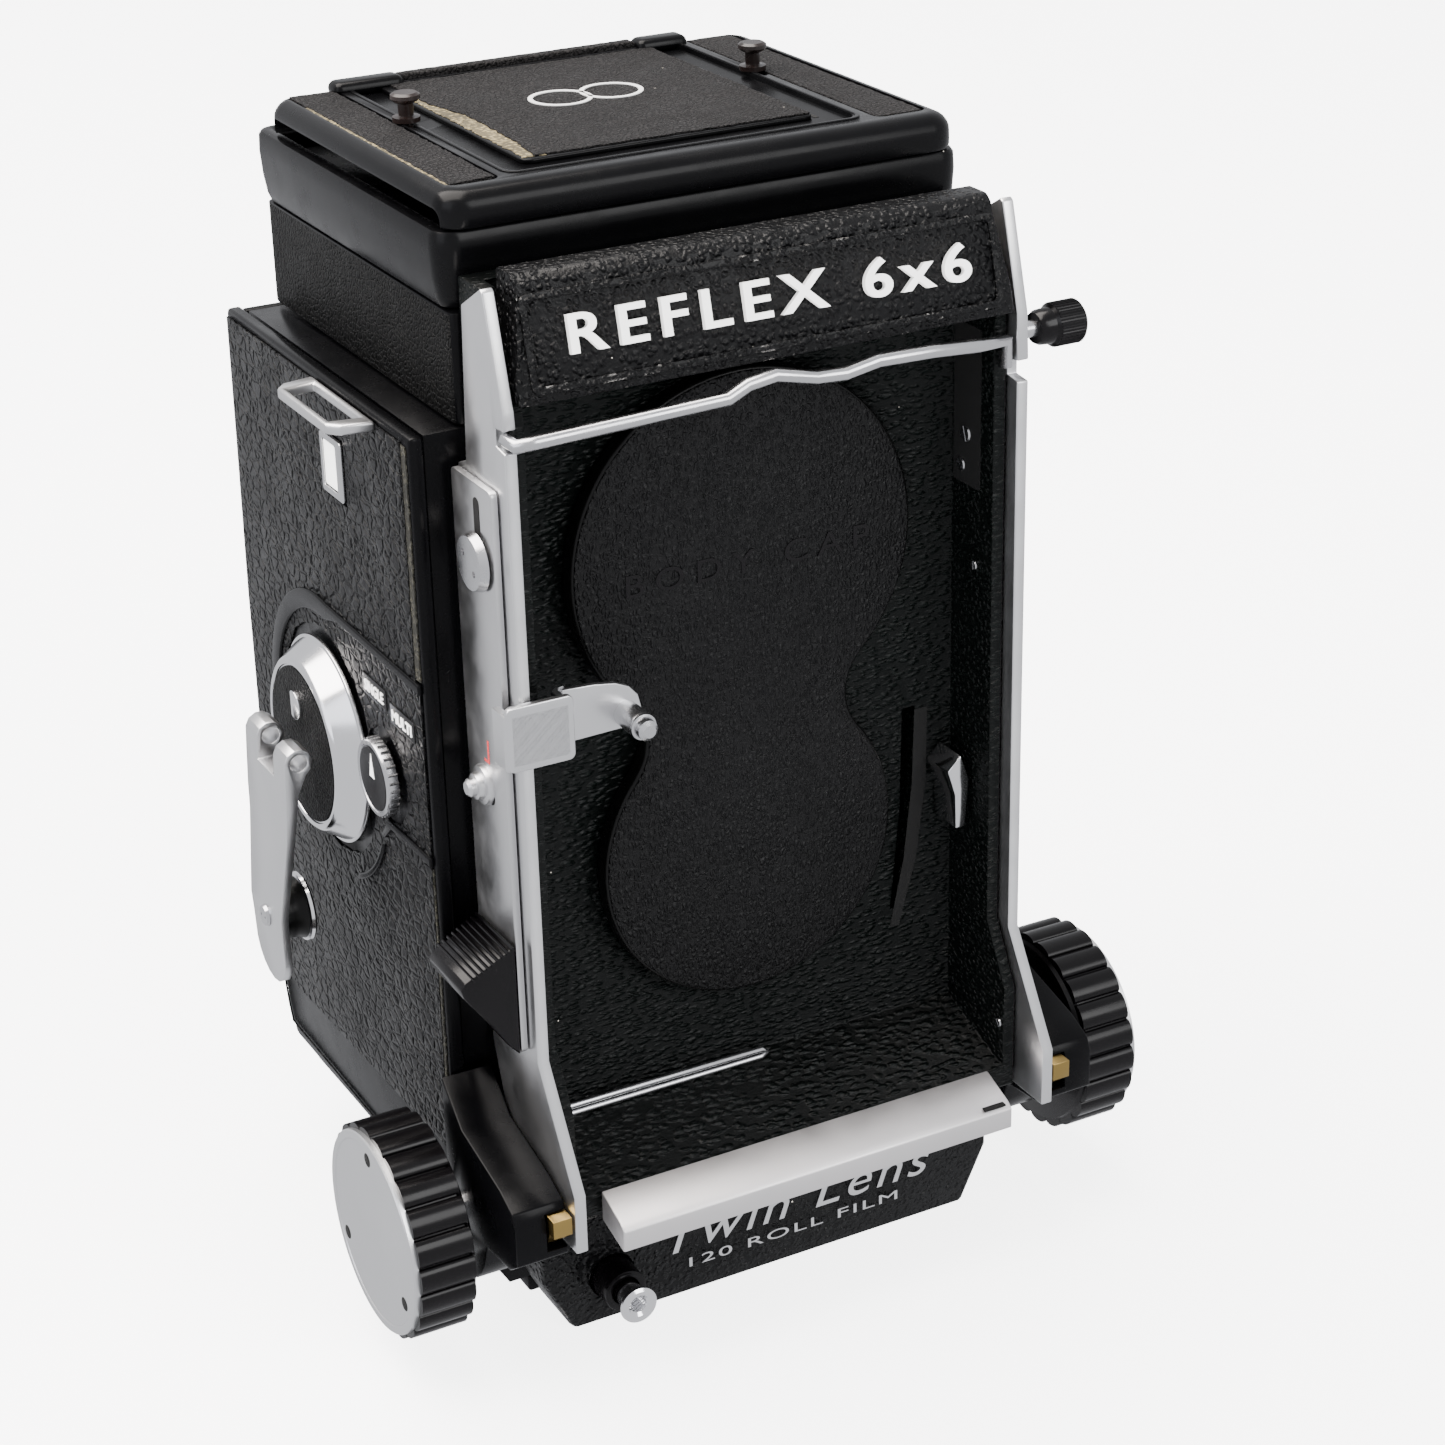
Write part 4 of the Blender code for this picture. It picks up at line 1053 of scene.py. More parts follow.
class RidgeRow(GeometryRule):
    """Equal ridges side by side, as on a thumb piece."""

    def __init__(self) -> None:
        """Builds the tree, with its sizes in metres."""
        super().__init__("ridge_row")
        count, pitch = self.input("Count", "Int"), self.input("Pitch")
        width, height = self.input("Width"), self.input("Height")
        length = self.input("Length")
        step = self.node("ShaderNodeCombineXYZ", {"X": pitch})
        row = self.node("GeometryNodeMeshLine", {
            "Count": count, "Offset": step.outputs[0]})
        bar = self.node("GeometryNodeMeshCylinder", {
            "Vertices": 12, "Radius": 0.5, "Depth": length})
        size = self.node("ShaderNodeCombineXYZ", {"X": width, "Y": height, "Z": 1.0})
        lying = self.node("GeometryNodeTransform", {
            "Geometry": bar.outputs["Mesh"], "Scale": size.outputs[0]})
        placed = self.node("GeometryNodeInstanceOnPoints", {
            "Points": row.outputs["Mesh"], "Instance": lying.outputs["Geometry"]})
        self.end(placed.outputs["Instances"])

    def lay(self, name: str, finish: Finish, place: Matrix, count: int, pitch: float,
            width: float, height: float, length: float) -> bpy.types.Object:
        """Lays ridges that run along local Z and follow each other along local X.

        Args:
            name: The new object's name.
            finish: The surface.
            place: Takes the first ridge's middle to its place.
            count: How many ridges.
            pitch: The step from one to the next, in millimetres.
            width: A ridge's width.
            height: A ridge's height.
            length: A ridge's length.

        Returns:
            The mesh object.
        """
        made = self.run(name, finish, Count=count, Pitch=pitch * MM, Width=width * MM,
                        Height=height * MM, Length=length * MM)
        made.data.transform(place)
        return made


class PleatedTube(GeometryRule):
    """A pleated section swept round a rectangle with round corners: the bellows."""

    def __init__(self) -> None:
        """Builds the tree, with its sizes in metres."""
        super().__init__("pleated_tube")
        width, height = self.input("Width"), self.input("Height")
        corner = self.input("Corner")
        frame_line = self.node("GeometryNodeCurvePrimitiveQuadrilateral", {
            "Width": width, "Height": height})
        eased = self.node("GeometryNodeFilletCurve", {
            "Curve": frame_line.outputs["Curve"], "Count": 5, "Radius": corner},
            mode="POLY")
        section = self.node("GeometryNodeMeshToCurve", {
            "Mesh": self.source.outputs["Geometry"]})
        swept = self.node("GeometryNodeCurveToMesh", {
            "Curve": eased.outputs["Curve"], "Profile Curve": section.outputs["Curve"]})
        self.end(swept.outputs["Mesh"])


@dataclass
class Workshop:
    """The rules that every sub-assembly shares."""

    ribs: RibRing = field(default_factory=RibRing)
    slotted: ScrewHeads = field(default_factory=lambda: ScrewHeads(Drive.SLOT))
    spanner: ScrewHeads = field(default_factory=lambda: ScrewHeads(Drive.SPANNER))
    ridges: RidgeRow = field(default_factory=RidgeRow)
    pleats: PleatedTube = field(default_factory=PleatedTube)


# ---------------------------------------------------------------------------- the body
@dataclass
class Body:
    """The casting, its covers, its base and the parts fixed to them."""

    shop: Workshop
    body: str = "camera_body"
    cover_x: float = 45.8
    leather: float = 0.35
    ring_centre: Pair = (53.1, 79.7)
    ring_r: float = 21.6

    def build(self) -> None:
        """Makes every piece of the body."""
        self.casting()
        self.side_covers()
        self.crank_side_leather()
        self.plain_side_leather()
        self.finder_tier()
        self.base()
        self.arms()
        self.small_parts()

    def casting(self) -> None:
        """The die casting, enamelled where it shows."""
        dress(refined("main_casting", "casting", 0.25), self.body, ENAMEL, "main_casting")

    def side_covers(self) -> None:
        """The pressed covers at both sides, enamelled at their rims."""
        for side in ("crank", "plain"):
            node = f"{side}_side_cover"
            dress(refined(node, f"{side}_cover", 0.2), self.body, ENAMEL, node)

    def crank_side_leather(self) -> None:
        """One sheet of leatherette with raised bands on it and torn edges."""
        outer = -self.cover_x - self.leather
        sheet = [*ragged([(18.4, 17.0), (18.2, 73.6)], 0.12, 0.8, 2)[:-1],
                 (17.2, 74.0), (17.2, 101.0), *ragged([(18.6, 102.0), (18.5, 135.6)],
                 0.12, 0.8, 4)[:-1], (18.9, 135.9), (82.6, 135.9), (83.2, 118.0),
                 (84.3, 92.0), (84.5, 62.0), *arc((59.2, 28.5), 25.2, 0, -26, 5)]
        holes = [rounded((39.0, 120.1), (47.4, 129.8), 0.5),
                 ragged(arc(self.ring_centre, 17.3, 0, 350, 36), 0.3, 1.4, 6),
                 ragged(arc((31.6, 82.5), 7.2, 0, 345, 24), 0.22, 1.0, 8)]
        dress(slab("crank_leather", sheet, "X", outer, -self.cover_x - 0.02, 0.08, holes),
              self.body, LEATHERETTE)
        middle = self.ring_centre
        upper = [(16.9, 101.9), (46.0, 101.9), *arc(middle, 22.4, 97, -22, 30),
                 *arc((52.7, 79.5), 19.7, -16, 95, 30), (46.0, 100.5), (16.9, 100.4)]
        lower = [(16.9, 75.8), (25.0, 75.7), (32.0, 75.3), (34.6, 72.2), (33.6, 71.8),
                 (31.0, 74.2), (25.0, 74.5), (16.9, 74.4)]
        hook = [*arc(middle, 21.3, 205, 250, 14), *arc((52.6, 79.3), 19.7, 247, 208, 14)]
        for name, outline in (("teardrop_band", upper), ("lower_band", lower),
                              ("crank_hook_band", hook)):
            dress(slab(name, outline, "X", outer - 0.4, -self.cover_x - 0.02, 0.3),
                  self.body, LID_ENAMEL)
        for name, low, high, seed in (("cement_upper", 102.2, 135.6, 3),
                                      ("cement_lower", 17.0, 73.8, 5)):
            edge = ragged([(17.0, low), (18.7, low), (18.7, high), (17.0, high)], 0.16,
                          0.7, seed)
            dress(slab(name, edge, "X", outer + 0.12, -self.cover_x - 0.02), self.body,
                  DIRTY_CEMENT)

    def plain_side_leather(self) -> None:
        """Leatherette over the plain side and the film door."""
        outer = self.cover_x + self.leather
        outline = [(18.0, 17.0), (18.0, 136.0), (82.6, 136.0), (83.3, 118.0),
                   (84.5, 90.0), (84.5, 62.0), *arc((59.2, 28.5), 25.2, 0, -26, 5)]
        shoe = rounded((33.4, 87.4), (52.6, 107.1), 0.6)
        holes = [shoe]
        for node in ("spool_knob_upper", "spool_knob_lower"):
            low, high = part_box(node)
            middle = on_drawing((low + high) / 2)
            holes.append(arc((middle.y, middle.z), 7.4, 0, 348, 30))
        dress(slab("plain_leather", outline, "X", self.cover_x + 0.02, outer, 0.1, holes),
              self.body, LEATHERETTE)

    def finder_tier(self) -> None:
        """The finder's housing under the hood, leather on its faces."""
        made = dress(refined("finder_housing", "finder_tier", 0.3), self.body, ENAMEL,
                     "finder_housing")
        paint(made, TIER_LEATHERETTE,
              lambda p, n: abs(n.z) < 0.5 and 138.6 < p.z < 151.8 and n.y > -0.5)

    def base(self) -> None:
        """The base plate, its bush and the low housing under the ledge."""
        dress(refined("base_plate", "base_plate_worn", 0.2), self.body, ENAMEL,
              "base_plate")
        dress(refined("tripod_bush", "tripod_bush_turned", 0.15), self.body, BRASS,
              "tripod_bush")
        dress(refined("front_base_housing", "front_housing", 0.5), self.body, WRINKLE,
              "front_base_housing")
        front = on_drawing(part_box("front_base_housing")[0]).y
        for name, words, tall, wide, x, z, slant in (
                ("words_large", "Twin Lens", 5.4, 45.0, 4.8, 10.2, 0.3),
                ("words_small", "120 ROLL FILM", 1.6, 36.0, 3.6, 5.2, 0.0)):
            dress(lettering(name, words, tall, wide, 0.25,
                            place_on((x, front - 0.12, z), (1, 0, 0), (0, 0, 1)), 0.0,
                            slant, 1.15), self.body, ALUMINIUM)
        guide = refined("release_button_guide", "release_guide", 0.1)
        dress(guide, self.body, ANODISED, "release_button_guide")

    def arms(self) -> None:
        """The two brackets that carry the focusing shaft."""
        for side in ("left", "right"):
            node = f"focus_arm_{side}"
            dress(refined(node, f"focus_bracket_{side}", 0.5), self.body, ENAMEL, node)

    def small_parts(self) -> None:
        """The strap lugs, the counter's window, the shoe and the labels."""
        for side in ("left", "right"):
            node = f"strap_lug_{side}"
            dress(refined(node, f"strap_loop_{side}", 0.35), self.body, ALUMINIUM, node)
        dress(refined("accessory_shoe", "flash_shoe", 0.2), self.body, ALUMINIUM,
              "accessory_shoe")
        dial = slab("counter_dial", rounded((41.6, 121.6), (46.2, 128.2), 0.4), "X",
                    -46.25, -46.12, 0.03)
        dress(dial, self.body, WHITE_PAINT)
        rim = slab("counter_rim", rounded((39.4, 120.5), (47.0, 129.3), 0.6), "X", -46.5,
                   -45.85, 0.15, [rounded((41.4, 121.4), (46.4, 128.4), 0.4)])
        dress(rim, self.body, STEEL, "counter_window")
        for name, words, y, z in (("label_one", "SINGLE", 33.8, 94.6),
                                  ("label_more", "MULTI", 24.1, 93.5)):
            plate = rounded((y - 4.2, z - 1.6), (y + 4.2, z + 1.6), 0.3)
            dress(slab(f"{name}_plate", plate, "X", -46.26, -46.0, 0.04), self.body,
                  ANODISED)
            dress(lettering(name, words, 1.6, 6.6, 0.15,
                            place_on((-46.32, y, z), (0, -1, 0), (0, 0, 1)), 0.04),
                  self.body, WHITE_PAINT)


# ---------------------------------------------------------------------------- standard
@dataclass
class FrontStandard:
    """The sliding front: plates, lens recess, ledge, nameplate, cap and bellows."""

    shop: Workshop
    body: str = "front_standard"
    panel_y: float = 13.0
    wall_x: float = 35.4
    face_low: Pair = (-0.3, 144.3)
    face_high: Pair = (3.5, 159.2)

    def build(self) -> None:
        """Makes every piece of the front standard."""
        self.frame()
        self.plates()
        self.nameplate()
        self.ledge()
        self.cap()
        self.bellows()
        self.fittings()

    def frame(self) -> None:
        """The cast frame, lined inside the recess."""
        dress(refined("standard_frame", "lens_recess", 0.25), self.body, LINING,
              "standard_frame")
        for side in ("left", "right"):
            dress(refined(f"rack_{side}", f"rack_bar_{side}", 0.08), self.body, BRASS,
                  f"rack_{side}")

    def plates(self) -> None:
        """The silver plates at both sides."""
        for side in ("left", "right"):
            node = f"side_plate_{side}"
            dress(refined(node, f"front_plate_{side}", 0.22), self.body, ALUMINIUM, node)

    def nameplate(self) -> None:
        """The wrinkle-painted housing with its raised rim and letters."""
        dress(refined("nameplate_housing", "name_housing", 0.35), self.body, WRINKLE,
              "nameplate_housing")
        low, high = self.face_low, self.face_high
        tall = math.hypot(high[0] - low[0], high[1] - low[1])
        up = (0.0, (high[0] - low[0]) / tall, (high[1] - low[1]) / tall)
        middle = (0.0, (low[0] + high[0]) / 2, (low[1] + high[1]) / 2)
        plane = place_on(middle, (1, 0, 0), up)
        rim = slab("name_rim", rounded((-35.2, -6.4), (35.2, 6.4), 1.2), "Z", -0.1, 0.35,
                   0.15, [rounded((-34.2, -5.4), (34.2, 5.4), 0.8)])
        rim.data.transform(Matrix.Translation((0, -SHIFT_Y, 0)))
        rim.data.transform(plane)
        dress(rim, self.body, WRINKLE)
        words = lettering("name_letters", "REFLEX 6x6", 5.0, 59.4, 0.8,
                          place_on((0.6, middle[1] - 0.35, middle[2] + 0.6), (1, 0, 0),
                                   up), 0.1, 0.0, 1.3)
        dress(words, self.body, WHITE_PAINT)

    def ledge(self) -> None:
        """The bright ledge that the lens stands on, with a black strip of painted shade for its
        scribed line.
        """
        dress(refined("lens_ledge", "ledge_bar", 0.2), self.body, FROSTED, "lens_ledge")
        # Painted shade: a black strip for the shadow in the scribed line.
        mark = block("ledge_scribe_shade", (27.6, -9.9, 26.0), (31.2, -9.0, 26.28))
        dress(mark, self.body, GAP_SHADE)

    def cap_line(self, grow: float = 0.0) -> list[Pair]:
        """The cap's outline: two lobes joined by round waists.

        Args:
            grow: How far outside the cap's own edge the line runs.

        Returns:
            Points in X and Z.
        """
        upper, lower, waist, fillet = (113.8, 26.5), (68.9, 23.2), 16.1, 8.4
        across = waist + fillet
        rise = math.sqrt((upper[1] + fillet) ** 2 - across ** 2)
        middle = upper[0] - rise
        high = math.degrees(math.atan2(middle - upper[0], across))
        low = math.degrees(math.atan2(middle - lower[0], across))
        right = arc((0, upper[0]), upper[1] + grow, 90, high, 40)
        right += arc((across, middle), fillet - grow, 180 + high, 180 + low, 20)[1:-1]
        right += arc((0, lower[0]), lower[1] + grow, low, -90, 40)
        return right + [(-x, z) for x, z in reversed(right[1:-1])]

    def cap(self) -> None:
        """The body cap: a stepped moulded rim under a leather face."""
        rim = slab("cap_rim", self.cap_line(), "Y", 9.95, 12.7, 0.5)
        dress(rim, self.body, PLASTIC, "body_cap")
        face = slab("cap_leather", self.cap_line(-0.45), "Y", 9.7, 10.4, 0.25)
        dress(face, self.body, KID)
        words = lettering("cap_letters", "BODY CAP", 3.3, 38.0, 0.2,
                          place_on((0.6, 9.68, 112.6), (1, 0, 0), (0, 0, 1)), 0.03, 0.0,
                          1.5)
        dress(words, self.body, ANODISED)

    def bellows(self) -> None:
        """Pleated bellows between the standard and the casting."""
        front, back = on_drawing(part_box("bellows")[0]).y, on_drawing(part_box("bellows")[1]).y
        folds, wall, deep = 8, 0.12, 2.0
        step = (back - front - 0.2) / (2 * folds)
        outer = [(-deep * (i % 2), i * step) for i in range(2 * folds + 1)]
        inner = [(x - 0.3, y + (wall if i % 2 else -wall) * 0)
                 for i, (x, y) in enumerate(reversed(outer))]
        loop = [Vector((x, y, 0)) * MM for x, y in [*outer, *inner]]
        section = bpy.data.meshes.new("pleat_section")
        section.from_pydata(loop, [(i, (i + 1) % len(loop)) for i in range(len(loop))], [])
        made = self.shop.pleats.run("pleated_bellows", CLOTH, section, Width=62.0 * MM,
                                    Height=98.4 * MM, Corner=3.0 * MM)
        turn = Matrix.Rotation(math.radians(90), 4, "X")
        made.data.transform(turn)
        low = min(v.co.y for v in made.data.vertices)
        high = max(v.co.y for v in made.data.vertices)
        shift = at((0, (front + back) / 2, 79.5)) - Vector((0, (low + high) / 2, 0))
        made.data.transform(Matrix.Translation(shift))
        tidy(made)
        made.data.materials.clear()
        made.data.materials.append(CLOTH.material())
        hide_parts("bellows")
        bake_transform(made)
        LOG.info("pleated_bellows bends between the body and the standard")

    def fittings(self) -> None:
        """The spring rod at the foot, the wall's screws, and black sheets of painted shade for
        the lever's slot and the wall's recess.
        """
        rod = [(-33.6, 12.0, 31.6), (1.6, 12.0, 31.6), (2.5, 12.0, 31.0),
               (1.6, 12.0, 30.4), (-33.6, 12.0, 30.4)]
        dress(tube("spring_rod", [(x, y - 1.0, z + 2.4) for x, y, z in rod], 0.5),
              self.body, STEEL)
        # Painted shade: a black sheet where the lever's slot is in shadow.
        slot = [(29.2, 82.0), (31.4, 82.0), (31.2, 70.0), (29.6, 58.0), (26.6, 47.0),
                (25.0, 47.0), (27.4, 58.0), (28.8, 70.0)]
        dress(slab("lever_slot_shade", slot, "Y", self.panel_y - 0.06, self.panel_y - 0.01),
              self.body, GAP_SHADE)
        walls = [((self.wall_x, 9.4, 124.5), (-1, 0, 0), 2.4, 20),
                 ((self.wall_x, 10.6, 119.6), (-1, 0, 0), 2.0, 60),
                 ((self.wall_x, 7.0, 105.4), (-1, 0, 0), 1.4, 0),
                 ((self.wall_x, -1.2, 34.6), (-1, 0, 0), 1.4, 40)]
        dress(self.shop.slotted.set_in("wall_screws", STEEL, walls), self.body, STEEL)
        # Painted shade: a black sheet where the wall's recess is in shadow.
        recess = slab("wall_recess_shade", rounded((5.6, 117.0), (12.6, 140.6), 0.6), "X",
                      self.wall_x - 0.06, self.wall_x - 0.01)
        dress(recess, self.body, GAP_SHADE)


# ---------------------------------------------------------------------------- release
@dataclass
class ReleaseGear:
    """The release bar on the left plate, its bracket, its thumb piece and its button."""

    shop: Workshop
    bar_x: float = -40.65

    def build(self) -> None:
        """Makes every piece of the release."""
        body = "release_bar"
        dress(refined("release_bar", "long_bar", 0.12), body, BRUSHED, "release_bar")
        self.bracket(body)
        dress(refined("thumb_piece", "thumb_wedge", 0.3), body, ANODISED, "thumb_piece")
        # Painted shade: black sheets where the bar's slot and the stud's hole are in shadow.
        slot = slab("bar_slot_shade", rounded((6.2, 118.4), (8.0, 130.9), 0.85), "X",
                    self.bar_x - 0.05, self.bar_x - 0.01)
        dress(slot, body, GAP_SHADE)
        dress(slab("stud_hole_shade", rounded((6.6, 86.6), (9.8, 88.8), 1.0), "X",
                   self.bar_x - 0.05, self.bar_x - 0.01), body, GAP_SHADE)
        guide = self.shop.spanner.set_in("guide_screw", STEEL, [
            ((self.bar_x - 0.5, 6.9, 122.2), (-1, 0, 0), 8.2, 55)])
        dress(guide, "front_standard", STEEL)
        profile = [(0, 2.9), (0.9, 2.9), (1.3, 2.5), (1.3, 1.8), (1.8, 1.7), (2.0, 1.2),
                   (2.0, 0.9), (2.7, 0.8), (2.9, 0.4), (2.9, 0.0), (0, 0.0)]
        dress(lathe("stepped_stud", profile, (-1, 0, 0), (self.bar_x, 9.4, 89.0), 48),
              body, ALUMINIUM)
        mark = [(7.6, 92.6), (9.2, 92.6), (9.2, 93.0), (8.05, 93.0), (8.05, 96.0),
                (7.6, 96.0)]
        dress(slab("red_mark", mark, "X", self.bar_x - 0.05, self.bar_x - 0.01), body,
              RED_PAINT)
        low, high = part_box("thumb_piece")
        inner, outer = on_drawing(high), on_drawing(low)
        top = (inner.x, inner.z)
        slope = Vector((outer.x + 0.4 - top[0], 0.0, -4.2)).normalized()
        across = Vector((0, 1, 0))
        out = across.cross(slope)
        turn = Matrix((slope, out, across)).transposed().to_4x4()
        middle = (inner.y + outer.y) / 2
        place = Matrix.Translation(at((top[0] - 0.5, middle, top[1] + 0.0))) @ turn
        ridges = self.shop.ridges.lay("thumb_ridges", ANODISED, place, 9, 0.84, 0.5,
                                      0.6, 12.0)
        dress(ridges, body, ANODISED)
        self.button()

    def bracket(self, body: str) -> None:
        """The bent bracket that reaches across to the lens, with its pin."""
        low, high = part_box("release_bracket")
        front, tip = on_drawing(low), on_drawing(high)
        pin_x, pin_z = -22.6, 97.9
        hook = [(-41.2, 2.0), (-42.3, 2.0), (-42.3, -1.3), *arc((-41.4, -1.4), 0.9, 180,
                270, 5), *arc((-33.3, -1.4), 0.9, 270, 360, 5), (-32.4, 1.6),
                *arc((-31.5, 2.4), 0.9, 180, 120, 4), (-31.2, 3.45), (-32.6, 3.4),
                (-33.45, 2.6), (-33.45, -0.6), (-34.0, -1.2), (-40.6, -1.2),
                (-41.2, -0.6)]
        tab = slab("bracket_tab", hook, "Z", front.z + 0.1, tip.z - 1.2, 0.14)
        dress(tab, body, ALUMINIUM, "release_bracket")
        cover = slab("bracket_front", rounded((-42.2, front.z), (-32.45, tip.z), 0.9), "Y",
                     -2.3, -1.3, 0.2)
        dress(cover, body, ALUMINIUM)
        tongue = [(-31.8, 95.6), (-23.4, 95.8), *arc((pin_x, pin_z), 2.4, -90, 20, 8),
                  (-20.7, 100.2), (-22.0, 101.7), (-24.0, 102.6), (-27.0, 103.1),
                  (-31.8, 103.4)]
        dress(slab("bracket_tongue", tongue, "Y", 2.5, 3.4, 0.15), body, ALUMINIUM)
        profile = [(0.0, 4.6), (0.9, 4.6), (1.45, 4.1), (1.5, 3.1), (1.55, 2.9),
                   (1.85, 2.8), (1.9, 2.5), (1.7, 2.2), (1.88, 1.8), (1.88, -2.5),
                   (0.0, -2.5)]
        dress(lathe("bracket_pin", profile, (0, -1, 0), (pin_x, 0.0, pin_z), 40), body,
              STEEL)

    def button(self) -> None:
        """The lower release: a black sleeve with a chrome, threaded end."""
        low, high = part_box("release_button")
        middle = on_drawing((low + high) / 2)
        tip = on_drawing(low).y
        centre = (middle.x, tip, middle.z)
        bore = [(1.25 + 0.16 * (i % 2), -0.5 - 0.28 * i) for i in range(9)]
        profile = [(0.0, -3.0), (1.2, -3.0), *reversed(bore), (1.75, -0.08), (2.4, 0.0),
                   (2.85, -0.3), (2.9, -0.6), (2.8, -0.9), (1.98, -1.0), (1.98, -3.4),
                   (0.0, -3.4)]
        dress(lathe("release_tip", profile, (0, -1, 0), centre, 40), "release_button",
              CHROME, "release_button")
        sleeve = [(0.0, -3.1), (1.9, -3.1), (1.9, -12.0), (0.0, -12.0)]
        dress(lathe("release_sleeve", sleeve, (0, -1, 0), centre, 32), "release_button",
              ANODISED)


# ---------------------------------------------------------------------------- controls
@dataclass
class Crank:
    """The film crank: hub, folding arm and handle."""

    shop: Workshop
    centre: Pair = (53.1, 79.7)
    face_x: float = -50.6

    def build(self) -> None:
        """Makes every piece of the crank and the selector beside it."""
        hub = [(0.0, 4.3), (11.9, 4.3), (12.0, 4.52), (12.6, 4.6), (13.0, 4.35),
               (13.2, 4.0), (15.0, 1.3), (15.2, 1.0), (15.65, 0.9), (15.7, 0.75),
               (15.7, 0.4), (0.0, 0.4)]
        axis = (-1, 0, 0)
        dress(lathe("crank_boss", hub, axis, (-46.0, *self.centre), 128), "crank", CHROME,
              "crank_hub")
        face = slab("crank_inlay", arc(self.centre, 11.7, 0, 354, 60), "X",
                    self.face_x + 0.05, self.face_x + 0.35, 0.1)
        dress(face, "crank", TIER_LEATHERETTE)
        half = [*arc((54.2, 85.6), 2.2, 60, 300, 16)]
        dress(slab("crank_catch", half, "X", self.face_x - 0.5, self.face_x + 0.2, 0.12),
              "crank", CHROME)
        dress(refined("crank_arm", "folding_arm", 0.3), "crank_arm", ALUMINIUM,
              "crank_arm")
        low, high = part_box("crank_handle")
        middle = on_drawing((low + high) / 2)
        inner = on_drawing(high).x
        grip = [(0.0, 4.5), (4.3, 4.5), (4.4, 4.2), (4.25, 3.0), (4.4, 1.9), (4.8, 1.0),
                (0.0, 1.0)]
        centre = (inner, middle.y, middle.z)
        dress(lathe("crank_grip", grip, axis, centre, 48), "crank_handle", PLASTIC,
              "crank_handle")
        ring = [(0.0, 1.1), (4.7, 1.1), (5.2, 0.85), (5.3, 0.4), (5.0, 0.02), (0.0, 0.02)]
        dress(lathe("crank_grip_ring", ring, axis, centre, 48), "crank_handle", CHROME)
        rivet = self.shop.spanner.set_in("arm_rivet", STEEL, [
            ((-58.4, 53.4, 53.5), (-1, 0, 0), 3.4, 90)])
        dress(rivet, "crank_arm", STEEL)
        self.selector()

    def selector(self) -> None:
        """The exposure selector: a knurled ring round a black face with a pointer."""
        low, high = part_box("selector_knob")
        middle = on_drawing((low + high) / 2)
        outer = on_drawing(low).x
        profile = [(0.0, 0.0), (4.9, 0.0), (5.0, 0.15), (5.5, 0.1), (5.6, -0.1),
                   (5.6, -1.6), (5.2, -1.9), (0.0, -1.9)]
        axis = (-1, 0, 0)
        centre = (outer, middle.y, middle.z)
        dress(lathe("selector_ring", profile, axis, centre, 48), "selector", STEEL,
              "selector_knob")
        ribs = self.shop.ribs.around("selector_knurl", STEEL, axis,
                                     (outer + 0.9, middle.y, middle.z), 30, 5.5, 0.5,
                                     0.7, 1.4, 8)
        dress(ribs, "selector", STEEL)
        black = lathe("selector_face", [(0.0, 0.12), (4.6, 0.12), (4.8, 0.0), (4.8, -0.2),
                                        (0.0, -0.2)], axis, centre, 40)
        dress(black, "selector", ANODISED)
        arrow = [(middle.y - 0.8, middle.z + 0.2), (middle.y + 0.8, middle.z + 0.2),
                 (middle.y, middle.z + 3.9)]
        dress(slab("selector_pointer", arrow, "X", outer - 0.2, outer - 0.13), "selector",
              WHITE_PAINT)


@dataclass
class FocusDrive:
    """The focusing shaft with a scalloped knob at each end."""

    shop: Workshop
    radius: float = 16.0
    flutes: int = 22

    def build(self) -> None:
        """Makes both knobs, their discs and their ribs."""
        for side, node in ((-1, "focus_knob_left"), (1, "focus_knob_right")):
            low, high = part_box(node)
            middle = on_drawing((low + high) / 2)
            end = on_drawing(low).x if side < 0 else on_drawing(high).x
            name = "left" if side < 0 else "right"
            centre = (end, middle.y, middle.z)
            core = [(0.0, -0.5), (14.6, -0.5), (15.0, -0.9), (15.05, -1.4),
                    (15.05, -8.6), (14.4, -9.6), (8.0, -10.2), (0.0, -10.2)]
            dress(lathe(f"knob_core_{name}", core, (side, 0, 0), centre, 72),
                  "focus_shaft", ANODISED, node)
            ribs = self.shop.ribs.around(
                f"knob_ribs_{name}", ANODISED, (side, 0, 0),
                (end - side * 4.95, middle.y, middle.z), self.flutes, self.radius - 1.15,
                4.15, 2.2, 8.2, 18)
            dress(ribs, "focus_shaft", ANODISED)
            disc = [(0.0, -0.12), (13.7, -0.12), (13.75, -0.16), (13.9, 0.0), (14.9, 0.0),
                    (15.1, -0.2), (15.1, -0.9), (0.0, -0.9)]
            dress(lathe(f"knob_disc_{name}", disc, (side, 0, 0), centre, 96, 20),
                  "focus_shaft", ALUMINIUM)
            pins = [((end - side * 0.14, middle.y + 12.0 * math.cos(math.radians(t)),
                      middle.z + 12.0 * math.sin(math.radians(t))), (side, 0, 0))
                    for t in (90, 210, 330)]
            # Painted shade: three small black dimples where the disc's holes are in shadow.
            for number, (point, axis) in enumerate(pins):
                dimple = lathe(f"knob_dimple_shade_{name}_{number}",
                               [(0.0, 0.03), (1.0, 0.05), (1.1, 0.0), (0.0, -0.3)], axis,
                               point, 20)
                dress(dimple, "focus_shaft", GAP_SHADE)


